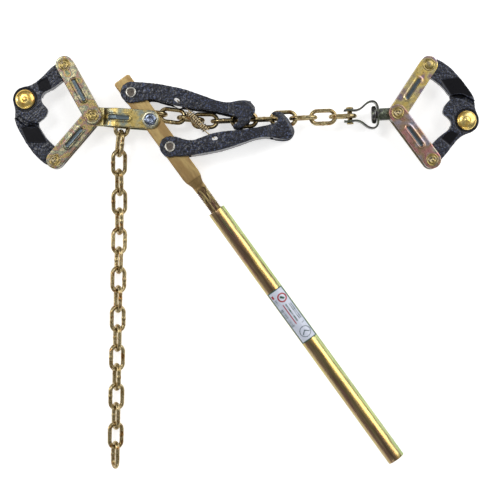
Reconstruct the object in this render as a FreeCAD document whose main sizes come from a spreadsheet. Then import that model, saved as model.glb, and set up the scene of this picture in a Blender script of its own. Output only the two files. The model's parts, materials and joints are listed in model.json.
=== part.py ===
import FreeCAD, Part
import os
import math
import Sketcher

# Chain fence strainer: a pumping lever with two hooked fingers walks along a short link chain,
# and a cam-jaw wire grab hangs on each end of it.
# Units are millimetres. X runs along the working chain, Y across it, Z up from the surface the tool lies on.

doc = FreeCAD.newDocument("chain_strainer")
sheet = doc.addObject("Spreadsheet::Sheet", "Sizes")
DIMS = [
    ("mid_plane_height", 29.0),
    ("grab_link_length", 82.0),
    ("grab_link_width", 25.0),
    ("grab_link_thickness", 3.5),
    ("grab_pin_radius", 5.0),
    ("grab_hole_radius", 5.08),
    ("rivet_head_radius", 6.4),
    ("rivet_head_height", 2.0),
    ("rivet_collar_radius", 9.0),
    ("rivet_collar_height", 1.0),
    ("jaw_bolt_radius", 7.0),
    ("jaw_bolt_hole_radius", 7.2),
    ("jaw_bolt_head_radius", 14.0),
    ("jaw_bolt_head_height", 6.5),
    ("jaw_boss_radius", 17.6),
    ("tension_plate_thickness", 4.0),
    ("tension_plate_width", 26.0),
    ("main_bolt_radius", 6.0),
    ("main_hole_radius", 6.08),
    ("main_washer_radius", 11.5),
    ("main_washer_thickness", 1.6),
    ("main_head_height", 4.9),
    ("lever_plate_thickness", 5.0),
    ("lever_plate_width", 25.8),
    ("finger_side_thickness", 5.5),
    ("finger_pin_radius", 6.0),
    ("finger_hole_radius", 6.08),
    ("finger_pin_head_radius", 7.4),
    ("finger_ear_radius", 14.8),
    ("tube_radius", 12.7),
    ("tube_bore_radius", 9.5),
    ("tube_length", 436.0),
    ("chain_wire_radius", 3.0),
    ("chain_bend_radius", 9.0),
    ("chain_straight", 16.4),
    ("spring_wire_radius", 0.9),
    ("spring_coil_radius", 4.7),
    ("strap_thickness", 2.6),
    ("strap_width", 17.0),
    ("swivel_neck_radius", 4.8),
    ("swivel_head_radius", 12.6),
]
for row, (name, value) in enumerate(DIMS, start=1):
    sheet.set("A%d" % row, name)
    sheet.set("B%d" % row, str(value))
    sheet.setAlias("B%d" % row, name)
doc.recompute()
V = dict(DIMS)
ZM = V["mid_plane_height"]
count = [0]


def uid(stem):
    count[0] += 1
    return "%s_%03d" % (stem, count[0])


def ref(expr):
    return "".join(
        ("Sizes." + word) if word in V else word for word in split_words(expr)
    )


def split_words(expr):
    out, word = [], ""
    for ch in expr:
        if ch.isalnum() or ch == "_" or ch == ".":
            word += ch
        else:
            out += [word, ch]
            word = ""
    return out + [word]


def bind(obj, prop, expr):
    obj.setExpression(prop, ref(expr))


def turned(x, y, z, yaw=0.0, pitch=0.0, roll=0.0):
    return FreeCAD.Placement(
        FreeCAD.Vector(x, y, z), FreeCAD.Rotation(yaw, pitch, roll)
    )


def cyl(x, y, z, radius, height, place=None):
    o = doc.addObject("Part::Cylinder", uid("cyl"))
    bind(o, "Radius", radius)
    bind(o, "Height", height)
    o.Placement = place or turned(x, y, z)
    return o


def box(x, y, z, length, width, height, place=None):
    o = doc.addObject("Part::Box", uid("box"))
    bind(o, "Length", length)
    bind(o, "Width", width)
    bind(o, "Height", height)
    base = turned(x, y, z)
    o.Placement = place.multiply(base) if place else base
    return o


def spline(points):
    c = Part.BSplineCurve()
    c.interpolate([FreeCAD.Vector(x, y, 0) for x, y in points])
    return c


def profile(runs, z, height, place=None, stem="profile"):
    """A closed outline of smooth runs, pushed up by a height from the sheet."""
    s = doc.addObject("Sketcher::SketchObject", uid(stem))
    geo = []
    for run in runs:
        if len(run) == 2:
            (ax, ay), (bx, by) = run
            geo.append(
                Part.LineSegment(FreeCAD.Vector(ax, ay, 0), FreeCAD.Vector(bx, by, 0))
            )
        else:
            geo.append(spline(run))
    s.addGeometry(geo, False)
    base = turned(0, 0, z)
    s.Placement = place.multiply(base) if place else base
    e = doc.addObject("Part::Extrusion", uid("push"))
    e.Base = s
    e.DirMode = "Normal"
    e.Solid = True
    bind(e, "LengthFwd", height)
    return e


def poly(points, z, height, place=None):
    n = len(points)
    return profile([[points[i], points[(i + 1) % n]] for i in range(n)], z, height, place)


def joined(parts, stem="joined"):
    o = doc.addObject("Part::MultiFuse", uid(stem))
    o.Shapes = parts
    o.Refine = True
    return o


def minus(base, tools):
    tool = tools[0] if len(tools) == 1 else joined(tools, "tools")
    o = doc.addObject("Part::Cut", uid("minus"))
    o.Base = base
    o.Tool = tool
    return o


def both(a, b):
    o = doc.addObject("Part::MultiCommon", uid("common"))
    o.Shapes = [a, b]
    return o


def group(parts):
    o = doc.addObject("Part::Compound", uid("group"))
    o.Links = parts
    return o


NODES = []


def node(name, obj):
    obj.Label = name
    NODES.append((name, obj))
    return obj


# ------------------------------------------------------------------ chain
def link(x, y, z, yaw, pitch, roll):
    """One short link: two half rings and two straight wires."""
    rot = FreeCAD.Rotation(yaw, pitch, roll)
    place = FreeCAD.Placement(FreeCAD.Vector(x, y, z), rot)
    bits = []
    for side in (1, -1):
        ring = doc.addObject("Part::Torus", uid("ring"))
        bind(ring, "Radius1", "chain_bend_radius")
        bind(ring, "Radius2", "chain_wire_radius")
        ring.Angle3 = 180
        turn = -90 if side == 1 else 90
        ring.Placement = place.multiply(
            turned(side * V["chain_straight"] / 2, 0, 0, turn)
        )
        bits.append(ring)
        wire = doc.addObject("Part::Cylinder", uid("wire"))
        bind(wire, "Radius", "chain_wire_radius")
        bind(wire, "Height", "chain_straight")
        wire.Placement = place.multiply(
            turned(
                -V["chain_straight"] / 2, side * V["chain_bend_radius"], 0, 0, 90, 0
            )
        )
        bits.append(wire)
    return joined(bits, "link")


LINKS = {
    "corner_1": (-174.12, 198.55, 29.0, -107.09, 0, -25.28),
    "corner_2": (-156.55, 212.85, 27.73, 12.11, -3.39, -40.47),
    "slack_1": (-131.02, 213.79, 29.0, -5.57, 0, 83.53),
    "slack_2": (-104.31, 210.14, 29.0, -7, 0, -6),
    "slack_3": (-78.36, 205.64, 29.0, -6, 0, 84),
    "slack_4": (-58.16, 203.24, 29.0, -0.5, 0, 4),
    "work_1": (-30.46, 203.04, 29.0, 2.2, 0, 90),
    "work_2": (-2.481, 204.115, 29.0, 2.2, 0, 0),
    "work_3": (25.499, 205.19, 29.0, 2.2, 0, 90),
    "work_4": (53.478, 206.265, 29.0, 2.2, 0, 0),
    "flex_1": (81.457, 207.339, 29.0, 2.2, 0, 90),
    "flex_2": (109.437, 208.414, 29.0, 2.2, 0, 0),
    "end_1": (137.416, 209.489, 29.0, 2.2, 0, 90),
    "tail_1": (-179.076, 171.234, 27.202, -96, 6, 65),
    "tail_2": (-180.539, 143.716, 23.398, -91.2, 9, -25),
    "tail_3": (-180.759, 116.211, 19.042, -90, 9, 65),
    "tail_4": (-180.878, 88.652, 15.041, -90.4, 7.8, -25),
    "tail_5": (-181.132, 60.936, 12.51, -90.6, 3.62, 65),
    "tail_6": (-181.543, 33.11, 11.837, -91.0, 0, -25),
    "tail_7": (-182.029, 5.264, 11.837, -91.0, 0, 65),
    "tail_8": (-182.515, -22.581, 11.837, -91.0, 0, -25),
    "tail_9": (-183.001, -50.427, 11.837, -91.0, 0, 65),
    "tail_10": (-183.487, -78.273, 11.837, -91.0, 0, -25),
    "tail_11": (-183.973, -106.119, 11.837, -91.0, 0, 65),
    "tail_12": (-184.459, -133.964, 11.837, -91.0, 0, -25),
    "tail_13": (-184.945, -161.81, 11.837, -91.0, 0, 65),
    "tail_14": (-185.431, -189.656, 11.837, -91.0, 0, -25),
    "tail_15": (-185.918, -217.502, 11.837, -91.0, 0, 65),
    "tail_16": (-186.404, -245.347, 11.837, -91.0, 0, -25),
    "tail_17": (-186.89, -273.193, 11.837, -91.0, 0, 65),
}


def chain(names):
    made = [link(*LINKS[n]) for n in names]
    return group(made) if len(made) > 1 else made[0]


node("chain_body_links", chain(["corner_1", "corner_2", "slack_1"]))
node("chain_slack_links", chain(["slack_2", "slack_3", "slack_4"]))
node("chain_hooked_links", chain(["work_1", "work_2", "work_3", "work_4"]))
node("chain_lead_links", chain(["flex_1", "flex_2"]))
node("chain_end_link", chain(["end_1"]))
node("chain_tail_a", chain(["tail_1", "tail_2"]))
node("chain_tail_b", chain(["tail_3", "tail_4", "tail_5"]))
node("chain_tail_c", chain(["tail_6", "tail_7", "tail_8"]))
node("chain_tail_d", chain(["tail_9", "tail_10", "tail_11"]))
node("chain_tail_e", chain(["tail_12", "tail_13", "tail_14"]))
node("chain_tail_f", chain(["tail_15", "tail_16", "tail_17"]))


# ------------------------------------------------------------------ tension plates and main pivot
MAIN = (-134.3, 203.32)
LEFT = (-216.4, 209.46)
span = math.hypot(MAIN[0] - LEFT[0], MAIN[1] - LEFT[1])
lean = math.degrees(math.atan2(MAIN[1] - LEFT[1], MAIN[0] - LEFT[0]))


def tension_plate(side):
    """Flat at the grab end, stepped outwards to clear the lever, flat again at the main pivot."""
    t = V["tension_plate_thickness"]
    inner, outer = 4.0, 18.5
    half = V["tension_plate_width"] / 2
    path = [
        (-half, inner), (16.5, inner), (35.0, outer), (span + half, outer),
        (span + half, outer + t), (33.6, outer + t), (15.1, inner + t - 0.5),
        (-half, inner + t - 0.5),
    ]
    place = turned(LEFT[0], LEFT[1], ZM, lean)
    # the side view, pushed across the full width
    side_view = FreeCAD.Placement(
        FreeCAD.Vector(0, half, 0), FreeCAD.Rotation(FreeCAD.Vector(1, 0, 0), 90)
    )
    bar = poly([(x, side * z) for x, z in path], 0, "tension_plate_width", place.multiply(side_view))
    ends = joined(
        [
            cyl(0, 0, 0, "tension_plate_width / 2", "60", place.multiply(turned(0, 0, -30))),
            cyl(0, 0, 0, "tension_plate_width / 2", "60", place.multiply(turned(span, 0, -30))),
            box(0, -half, -30, str(span), "tension_plate_width", "60", place),
        ]
    )
    holes = [
        cyl(0, 0, 0, "grab_pin_radius", "60", place.multiply(turned(0, 0, -30))),
        cyl(0, 0, 0, "main_bolt_radius", "60", place.multiply(turned(span, 0, -30))),
    ]
    return minus(both(bar, ends), holes)


node("tension_plate_front", tension_plate(1))
node("tension_plate_back", tension_plate(-1))
mx, my = MAIN
node(
    "main_pivot_bolt",
    joined(
        [
            cyl(mx, my, ZM - 28.0, "main_bolt_radius", "28 + 24.1 + 0.5"),
            poly(
                [
                    (mx + 8.6 * math.cos(math.radians(a)), my + 8.6 * math.sin(math.radians(a)))
                    for a in range(11, 371, 60)
                ],
                ZM + 24.1,
                "main_head_height",
            ),
        ]
    ),
)
node(
    "main_pivot_washers",
    group(
        [
            minus(
                cyl(mx, my, z, "main_washer_radius", "main_washer_thickness"),
                [cyl(mx, my, z - 1, "main_hole_radius", "main_washer_thickness + 2")],
            )
            for z in (ZM + 22.5, ZM - 22.5 - V["main_washer_thickness"])
        ]
    ),
)
node(
    "main_pivot_nut",
    minus(
        poly(
            [
                (mx + 9.6 * math.cos(math.radians(a)), my + 9.6 * math.sin(math.radians(a)))
                for a in range(20, 380, 60)
            ],
            ZM - 24.1 - V["main_head_height"],
            "main_head_height",
        ),
        [cyl(mx, my, ZM - 30, "main_bolt_radius", "8")],
    ),
)
# ------------------------------------------------------------------ lever
UP = (-161.75, 241.46)
LOW = (-106.84, 165.17)
LEVER_DIR = -54.07
TUBE_START = 157.0
lever_place = turned(mx, my, ZM, LEVER_DIR)


def lever_plate(side):
    """Flat cheek, stepped in to the middle, ending as half of the threaded shank."""
    t = V["lever_plate_thickness"]
    inner, low = 13.0, 0.1
    half = V["lever_plate_width"] / 2
    path = [
        (-71.0, inner), (103.0, inner), (120.5, low), (196.0, low),
        (196.0, low + t), (122.5, low + t), (105.0, inner + t), (-71.0, inner + t),
    ]
    side_view = FreeCAD.Placement(
        FreeCAD.Vector(0, half, 0), FreeCAD.Rotation(FreeCAD.Vector(1, 0, 0), 90)
    )
    bar = poly([(x, side * z) for x, z in path], 0, "lever_plate_width", lever_place.multiply(side_view))
    plan = poly(
        [
            (-71, -half + 3.5), (-68, -half), (96, -half), (112, -8.6), (196, -8.6),
            (196, 8.6), (112, 8.6), (96, half), (-68, half), (-71, half - 3.5),
        ],
        -30,
        "60",
        lever_place,
    )
    cheek = both(bar, plan)
    holes = [
        cyl(mx, my, ZM - 30, "main_hole_radius", "60"),
        cyl(UP[0], UP[1], ZM - 30, "finger_pin_radius", "60"),
        cyl(LOW[0], LOW[1], ZM - 30, "finger_pin_radius", "60"),
    ]
    # rounded back so that the shank lies inside the thread circle
    thread = joined(
        [
            cyl(0, 0, 0, "tube_bore_radius - 0.4", "90", lever_place.multiply(turned(112, 0, 0, 0, 90, 0))),
            box(-80, -20, -30, "192.0", "40", "60", lever_place),
        ]
    )
    return minus(both(cheek, thread), holes)


node("lever_plate_front", lever_plate(1))
node("lever_plate_back", lever_plate(-1))
tube_place = lever_place.multiply(turned(TUBE_START, 0, 0, 0, 90, 0))
node(
    "handle_tube",
    minus(
        cyl(0, 0, 0, "tube_radius", "tube_length", tube_place),
        [cyl(0, 0, 0, "tube_bore_radius", "tube_length + 2", tube_place.multiply(turned(0, 0, -1)))],
    ),
)
label = doc.addObject("Part::Cylinder", "label_outer")
bind(label, "Radius", "tube_radius + 0.25")
label.Height = 85.6
label.Angle = 140
label.Placement = tube_place.multiply(turned(0, 0, 140, 110))
node(
    "handle_label",
    minus(label, [cyl(0, 0, 0, "tube_radius + 0.02", "tube_length", tube_place)]),
)
for name, (x, y) in (("upper_finger_pin", UP), ("lower_finger_pin", LOW)):
    node(
        name,
        joined(
            [
                cyl(x, y, ZM - 25.8, "finger_pin_radius", "51.6"),
                cyl(x, y, ZM + 24.3, "finger_pin_head_radius", "1.5"),
                cyl(x, y, ZM - 25.8, "finger_pin_head_radius", "1.5"),
            ]
        ),
    )


# ------------------------------------------------------------------ hooked fingers
UPPER = {
    "top": [(-149.53, 255.81), (-140.4, 255.25), (-130.56, 254.41), (-119.32, 252.86), (-106.67, 250.61), (-92.62, 247.38), (-78.57, 243.3), (-64.52, 238.67), (-53.28, 234.45), (-42.04, 230.66), (-32.2, 228.41), (-22.36, 227.85), (-13.93, 229.39), (-5.5, 230.24), (2.23, 229.53), (8.27, 226.58), (12.2, 221.52), (13.19, 217.03)],
    "head": [(13.19, 217.03), (11.36, 212.25), (8.55, 206.91), (5.04, 201.29), (0.12, 195.95), (-6.06, 192.16), (-12.25, 191.31), (-17.3, 193.14), (-18.85, 195.81)],
    "throat": [(-18.85, 195.81), (-15.06, 197.21), (-12.11, 199.46), (-11.12, 202.55), (-12.53, 205.65), (-15.9, 207.61)],
    "bottom": [(-15.9, 207.61), (-23.77, 209.86), (-33.61, 212.39), (-46.25, 215.06), (-58.9, 216.89), (-71.55, 218.15), (-84.19, 219.98), (-96.84, 222.37), (-109.48, 225.74), (-120.73, 229.11), (-129.16, 231.22), (-136.18, 231.5), (-143.91, 229.11)],
}
LOWER = {
    "top": [(-97.54, 179.09), (-91.22, 176.98), (-83.49, 175.01), (-75.76, 174.45), (-67.33, 176.56), (-56.09, 180.91), (-43.44, 184.71), (-29.39, 186.96), (-13.93, 188.36), (1.52, 190.19), (16.98, 192.86), (28.93, 195.39), (34.69, 196.79)],
    "throat": [(34.69, 196.79), (40.31, 198.34), (43.96, 201.29), (44.94, 204.8), (43.12, 207.75), (38.9, 209.44), (35.67, 211.55)],
    "head": [(35.67, 211.55), (38.34, 213.8), (44.24, 214.92), (50.14, 213.37), (55.2, 209.44), (59.7, 203.96), (63.63, 197.64), (67.29, 190.89), (68.55, 185.83), (66.44, 180.49), (61.67, 176.7), (54.36, 175.43)],
    "bottom": [(54.36, 175.43), (44.38, 176.14), (34.55, 178.1), (24.71, 178.67), (14.17, 176.84), (2.93, 173.05), (-9.72, 168.41), (-22.36, 164.19), (-36.42, 160.26), (-50.47, 157.31), (-64.52, 154.92), (-78.57, 152.81), (-91.22, 151.27)],
}
HOLE_U = (-97.12, 230.66)
HOLE_L = (-43.86, 176.7)


def finger(pivot, runs, closing, spine, bridge, tooth, hole, hole_turn, ear_pad):
    """Two hooked sides, a spine along the outer edge, a bridge at the head and two teeth that meet the chain."""
    solids = []
    for side in (1, -1):
        z = ZM + 18.5 if side == 1 else ZM - 18.5 - V["finger_side_thickness"]
        sheet_side = joined(
            [
                profile(runs + closing, z, "finger_side_thickness"),
                cyl(pivot[0], pivot[1], z, "finger_ear_radius", "finger_side_thickness"),
                poly(ear_pad, z, "finger_side_thickness"),
            ]
        )
        slot_l, slot_w = (4.0, 2.3) if side == 1 else (9.0, 6.5)
        slot_place = turned(hole[0], hole[1], z - 1, hole_turn)
        slot = joined(
            [
                box(-slot_l + slot_w, -slot_w, 0, str(2 * (slot_l - slot_w)), str(2 * slot_w), "8", slot_place),
                cyl(0, 0, 0, str(slot_w), "8", slot_place.multiply(turned(slot_l - slot_w, 0, 0))),
                cyl(0, 0, 0, str(slot_w), "8", slot_place.multiply(turned(-slot_l + slot_w, 0, 0))),
            ]
        )
        solids.append(minus(sheet_side, [slot]))
        zt = ZM + 3.7 if side == 1 else ZM - 18.7
        solids.append(poly(tooth, zt, "15.0"))
    solids.append(profile(spine, ZM - 18.6, "37.2"))
    solids.append(poly(bridge, ZM - 18.6, "37.2"))
    whole = joined(solids, "finger")
    return minus(whole, [cyl(pivot[0], pivot[1], ZM - 30, "finger_hole_radius", "60")])


def offset_run(points, dx, dy):
    return [(x + dx, y + dy) for x, y in points]


u = UPPER
up_spine_out = u["top"][3:17]
up_spine_in = offset_run(up_spine_out, 0.0, -5.5)
up_spine = [
    offset_run(up_spine_out, 0, -0.3),
    [offset_run(up_spine_out, 0, -0.3)[-1], up_spine_in[-1]],
    up_spine_in[::-1],
    [up_spine_in[0], offset_run(up_spine_out, 0, -0.3)[0]],
]
node(
    "upper_finger",
    finger(
        UP,
        [u["top"], u["head"], u["throat"], u["bottom"]],
        [[u["bottom"][-1], u["top"][0]]],
        up_spine,
        [(-16.26, 216.74), (7.24, 216.74), (9.54, 222.14), (6.74, 229.64), (-2.26, 231.14), (-16.26, 230.14)],
        [(-9.46, 218.64), (-9.46, 203.64), (-6.76, 202.74), (-3.76, 202.74), (-0.86, 205.64), (1.74, 218.64)],
        HOLE_U,
        -32.0,
        [(-162.74, 256.79), (-149.53, 255.81), (-143.91, 229.11), (-154.45, 227.43), (-162.74, 233.33)],
    ),
)
w = LOWER
lo_spine_out = w["bottom"][2:12]
lo_spine_in = offset_run(lo_spine_out, 0.0, 5.5)
lo_spine = [
    offset_run(lo_spine_out, 0, 0.3),
    [offset_run(lo_spine_out, 0, 0.3)[-1], lo_spine_in[-1]],
    lo_spine_in[::-1],
    [lo_spine_in[0], offset_run(lo_spine_out, 0, 0.3)[0]],
]
node(
    "lower_finger",
    finger(
        LOW,
        [w["top"], w["throat"], w["head"], w["bottom"]],
        [[w["bottom"][-1], w["top"][0]]],
        lo_spine,
        [(38.74, 193.44), (64.24, 193.44), (66.74, 186.74), (61.74, 178.74), (51.74, 177.24), (38.74, 178.24)],
        [(48.34, 191.74), (48.34, 204.44), (50.34, 206.44), (55.24, 206.44), (57.74, 204.24), (57.74, 191.74)],
        HOLE_L,
        4.0,
        [(-107.8, 180.35), (-97.54, 179.09), (-91.22, 151.27), (-103.86, 151.97), (-107.8, 160.26)],
    ),
)
# ------------------------------------------------------------------ finger spring with its two wire drawbars
SPRING_Z = ZM + 17.5
ax, ay = HOLE_L[0] - HOLE_U[0], HOLE_L[1] - HOLE_U[1]
spring_len = math.hypot(ax, ay)
spring_place = turned(HOLE_U[0], HOLE_U[1], SPRING_Z, math.degrees(math.atan2(ay, ax)))


def swept(points, radius, place):
    """A round wire along straight runs with ball corners."""
    bits = []
    for a, b in zip(points, points[1:]):
        va, vb = FreeCAD.Vector(*a), FreeCAD.Vector(*b)
        d = vb.sub(va)
        o = doc.addObject("Part::Cylinder", uid("run"))
        bind(o, "Radius", radius)
        o.Height = d.Length
        o.Placement = place.multiply(
            FreeCAD.Placement(va, FreeCAD.Rotation(FreeCAD.Vector(0, 0, 1), d))
        )
        bits.append(o)
    for p in points[1:-1]:
        s = doc.addObject("Part::Sphere", uid("corner"))
        bind(s, "Radius", radius)
        s.Placement = place.multiply(FreeCAD.Placement(FreeCAD.Vector(*p), FreeCAD.Rotation()))
        bits.append(s)
    return joined(bits, "wire")


coil = doc.addObject("Part::Feature", "coil_wire")
helix = Part.makeHelix(2.75, 35.75, V["spring_coil_radius"])
ring = Part.Wire(
    Part.makeCircle(
        V["spring_wire_radius"],
        FreeCAD.Vector(V["spring_coil_radius"], 0, 0),
        FreeCAD.Vector(0, 1, 0),
    )
)
coil.Shape = Part.Wire(helix).makePipeShell([ring], True, True)
coil.Placement = spring_place.multiply(turned(22.75, 0, 0.0, 0, 90, 0))
node("spring_coil", coil)
node(
    "spring_upper_drawbar",
    swept(
        [
            (60.6, 3.6, 0), (60.6, 2.0, 0), (16.0, 2.0, 0), (1.2, 0.0, 0.0), (1.2, 0.0, 5.6),
        ],
        "spring_wire_radius",
        spring_place,
    ),
)
node(
    "spring_lower_drawbar",
    swept(
        [
            (20.5, -3.6, 0), (20.5, -2.0, 0), (spring_len - 14.0, -2.0, 0), (spring_len - 1.2, 0.0, 0.0), (spring_len - 1.2, 0.0, 5.6),
        ],
        "spring_wire_radius",
        spring_place,
    ),
)


# ------------------------------------------------------------------ wire grabs
P_SHORT = (46.799, -67.334)
P_LONG = (46.799, 67.334)
P_JAW = (97.226, -13.177)
SHORT_ARM = [(60.78, -66.59), (73.98, -51.19), (82.38, -41.67), (90.24, -35.19), (99.12, -31.73), (107.94, -27.7), (113.18, -20.64), (114.74, -12.24), (113.04, -5.32), (110.99, 0.86), (109.45, 6.24)]
SHORT_NOSE = [(109.45, 6.24), (104.49, 10.28), (98.45, 13.78), (92.02, 16.96), (85.46, 18.71), (78.79, 18.6), (72.25, 14.52), (67.16, 8.75), (64.49, 2.94), (64.74, -2.29), (67.84, -6.23), (71.88, -9.66), (74.7, -13.63), (75.31, -18.25), (73.55, -23.26), (69.42, -27.37), (63.55, -31.09), (57.49, -35.69), (51.8, -41.09), (47.31, -45.81)]
LONG_OUT = [(111.01, 13.22), (108.99, 19.12), (105.39, 26.56), (99.66, 35.35), (92.41, 45.26), (85.26, 54.04), (77.62, 62.21), (68.65, 69.39), (58.8, 75.48)]
LONG_IN = [(43.7, 52.22), (49.64, 48.28), (58.58, 41.38), (65.0, 35.51), (69.74, 29.46), (73.17, 24.98), (75.75, 21.98)]
LONG_GRIP = [(75.75, 21.98), (81.23, 23.96), (87.67, 24.9), (93.42, 24.2), (99.41, 21.12), (104.9, 17.42), (111.01, 13.22)]


def strap_link(place, inner_z, to, side):
    """A flat link plate with round ends and a pressed rib, between the tail pivot and one jaw pivot."""
    turn = math.degrees(math.atan2(to[1], to[0]))
    lp = place.multiply(turned(0, 0, 0, turn))
    z = inner_z if side == 1 else -inner_z - V["grab_link_thickness"]
    half = V["grab_link_width"] / 2
    length = V["grab_link_length"]
    body = joined(
        [
            box(0, -half, z, "grab_link_length", "grab_link_width", "grab_link_thickness", lp),
            cyl(0, 0, 0, "grab_link_width / 2", "grab_link_thickness", lp.multiply(turned(0, 0, z))),
            cyl(0, 0, 0, "grab_link_width / 2", "grab_link_thickness", lp.multiply(turned(length, 0, z))),
        ]
    )
    return minus(
        body,
        [
            cyl(0, 0, 0, "grab_hole_radius", "20", lp.multiply(turned(0, 0, z - 8))),
            cyl(0, 0, 0, "grab_pin_radius", "20", lp.multiply(turned(length, 0, z - 8))),
        ],
    )


def rivet(place, reach):
    return joined(
        [
            cyl(0, 0, 0, "grab_pin_radius", str(2 * reach), place.multiply(turned(0, 0, -reach))),
            cyl(0, 0, 0, "rivet_head_radius", "rivet_head_height", place.multiply(turned(0, 0, reach))),
            cyl(0, 0, 0, "rivet_head_radius", "rivet_head_height", place.multiply(turned(0, 0, -reach - V["rivet_head_height"]))),
            cyl(0, 0, 0, "rivet_collar_radius", "rivet_collar_height", place.multiply(turned(0, 0, reach))),
            cyl(0, 0, 0, "rivet_collar_radius", "rivet_collar_height", place.multiply(turned(0, 0, -reach - V["rivet_collar_height"]))),
        ]
    )


def between(a, b, start, end, half, z, height, place):
    """A straight bar from a towards b, in plan."""
    turn = math.degrees(math.atan2(b[1] - a[1], b[0] - a[0]))
    return box(start, -half, z, str(end - start), str(2 * half), height, place.multiply(turned(a[0], a[1], 0, turn)))


def grab(prefix, origin, heading):
    place = turned(origin[0], origin[1], ZM, heading)
    at = lambda p, z=0.0: place.multiply(turned(p[0], p[1], z))
    node(prefix + "_short_link_front", strap_link(place, 12.0, P_SHORT, 1))
    node(prefix + "_short_link_back", strap_link(place, 12.0, P_SHORT, -1))
    node(prefix + "_long_link_front", strap_link(place, 8.0, P_LONG, 1))
    node(prefix + "_long_link_back", strap_link(place, 8.0, P_LONG, -1))
    node(prefix + "_grab_pivot_rivet", rivet(at((0, 0)), 15.8))
    node(prefix + "_short_link_rivet", rivet(at(P_SHORT), 15.5))
    node(prefix + "_long_link_rivet", rivet(at(P_LONG), 11.5))
    # cam jaw: full thickness arm to the short link, front half only around the jaw bolt and nose
    outline = [SHORT_ARM, SHORT_NOSE, [SHORT_NOSE[-1], SHORT_ARM[0]]]
    front = profile(outline, 0.2, "11.5", place)
    boss = cyl(0, 0, 0, "jaw_boss_radius", "11.5", at(P_JAW, 0.2))
    eye = cyl(0, 0, 0, "11.4", "23.4", at(P_SHORT, -11.7))
    neck = between(P_SHORT, P_JAW, 0, 22, 9.5, -11.7, "23.4", place)
    back = minus(
        profile(outline, -11.7, "12.0", place),
        [
            cyl(0, 0, 0, "jaw_boss_radius + 1.6", "30", at(P_JAW, -20)),
            poly([(127.11, -13.82), (76.52, -18.98), (55.01, -16.91), (50.71, 25.25), (122.38, 32.55)], -20, "30", place),
        ],
    )
    node(
        prefix + "_cam_jaw",
        minus(
            joined([front, boss, eye, neck, back]),
            [
                cyl(0, 0, 0, "grab_hole_radius", "40", at(P_SHORT, -20)),
                cyl(0, 0, 0, "jaw_bolt_radius", "40", at(P_JAW, -20)),
            ],
        ),
    )
    # anvil jaw: full thickness body to the long link, back half only around the jaw bolt
    body_outline = [LONG_OUT, [LONG_OUT[-1], LONG_IN[0]], LONG_IN, LONG_GRIP]
    body = profile(body_outline, -7.7, "15.4", place)
    eye2 = cyl(0, 0, 0, "12.4", "15.4", at(P_LONG, -7.7))
    boss2 = cyl(0, 0, 0, "jaw_boss_radius - 0.6", "7.5", at(P_JAW, -7.7))
    neck2 = poly([(113.81, -11.49), (80.64, -14.87), (77.74, 2.44), (75.52, 24.23), (87.11, 30.38), (104.54, 26.47), (111.01, 13.22)], -7.7, "7.5", place)
    node(
        prefix + "_anvil_jaw",
        minus(
            joined([body, eye2, boss2, neck2]),
            [
                cyl(0, 0, 0, "grab_hole_radius", "40", at(P_LONG, -20)),
                cyl(0, 0, 0, "jaw_bolt_hole_radius", "40", at(P_JAW, -20)),
            ],
        ),
    )
    node(
        prefix + "_jaw_bolt",
        joined(
            [
                cyl(0, 0, 0, "jaw_bolt_radius", "28.2", at(P_JAW, -16.2)),
                cyl(0, 0, 0, "jaw_bolt_head_radius", "3.5", at(P_JAW, 11.9)),
                cyl(0, 0, 0, "jaw_bolt_head_radius - 1.6", "jaw_bolt_head_height", at(P_JAW, 11.9)),
            ]
        ),
    )
    node(
        prefix + "_jaw_nut",
        minus(
            poly(
                [
                    (P_JAW[0] + 11.5 * math.cos(math.radians(a)), P_JAW[1] + 11.5 * math.sin(math.radians(a)))
                    for a in range(0, 360, 60)
                ],
                -16.0,
                "8.0",
                place,
            ),
            [cyl(0, 0, 0, "jaw_bolt_radius", "20", at(P_JAW, -20))],
        ),
    )


grab("left", LEFT, 174.18)
grab("right", (214.21, 213.12), 1.78)

# ------------------------------------------------------------------ clevis strap and swivel
PIN = (147.54, 210.16)
RIGHT = (214.21, 213.12)
reach = math.hypot(RIGHT[0] - PIN[0], RIGHT[1] - PIN[1])
sw = turned(PIN[0], PIN[1], ZM, math.degrees(math.atan2(RIGHT[1] - PIN[1], RIGHT[0] - PIN[0])))


def strap_outline(offset):
    half = [
        (-8.5, 6.2), (3.0, 6.2), (10.5, 6.3), (16.0, 8.4), (21.5, 12.6), (26.0, 16.0),
        (30.5, 17.6), (35.0, 16.8), (37.6, 13.2), (38.4, 8.0),
    ]
    out = []
    for i, (x, y) in enumerate(half):
        a = half[max(i - 1, 0)]
        b = half[min(i + 1, len(half) - 1)]
        dx, dy = b[0] - a[0], b[1] - a[1]
        n = math.hypot(dx, dy)
        out.append((x - dy / n * offset, y + dx / n * offset))
    return out


inside = strap_outline(0.0)
outside = strap_outline(V["strap_thickness"])
inside[-1] = (38.4, 7.0)
outside[-1] = (38.4 + V["strap_thickness"], 7.0)
flip = lambda pts: [(x, -y) for x, y in pts][::-1]
strap = profile(
    [
        outside,
        [outside[-1], (outside[-1][0], -7.0)],
        flip(outside),
        [flip(outside)[-1], flip(inside)[-1]],
        inside[:1] and flip(inside)[::-1],
        [(inside[-1][0], -7.0), inside[-1]],
        inside[::-1],
        [inside[0], outside[0]],
    ],
    -8.5,
    "strap_width",
    sw,
)
node(
    "swivel_strap",
    minus(
        strap,
        [
            cyl(0, 0, 0, "3.6", "60", sw.multiply(FreeCAD.Placement(FreeCAD.Vector(0, 30, 0), FreeCAD.Rotation(FreeCAD.Vector(1, 0, 0), 90)))),
            cyl(0, 0, 0, "swivel_neck_radius + 0.08", "20", sw.multiply(turned(32, 0, 0, 0, 90, 0))),
        ],
    ),
)
pin_place = sw.multiply(FreeCAD.Placement(FreeCAD.Vector(0, 0, 0), FreeCAD.Rotation(FreeCAD.Vector(1, 0, 0), -90)))
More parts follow.
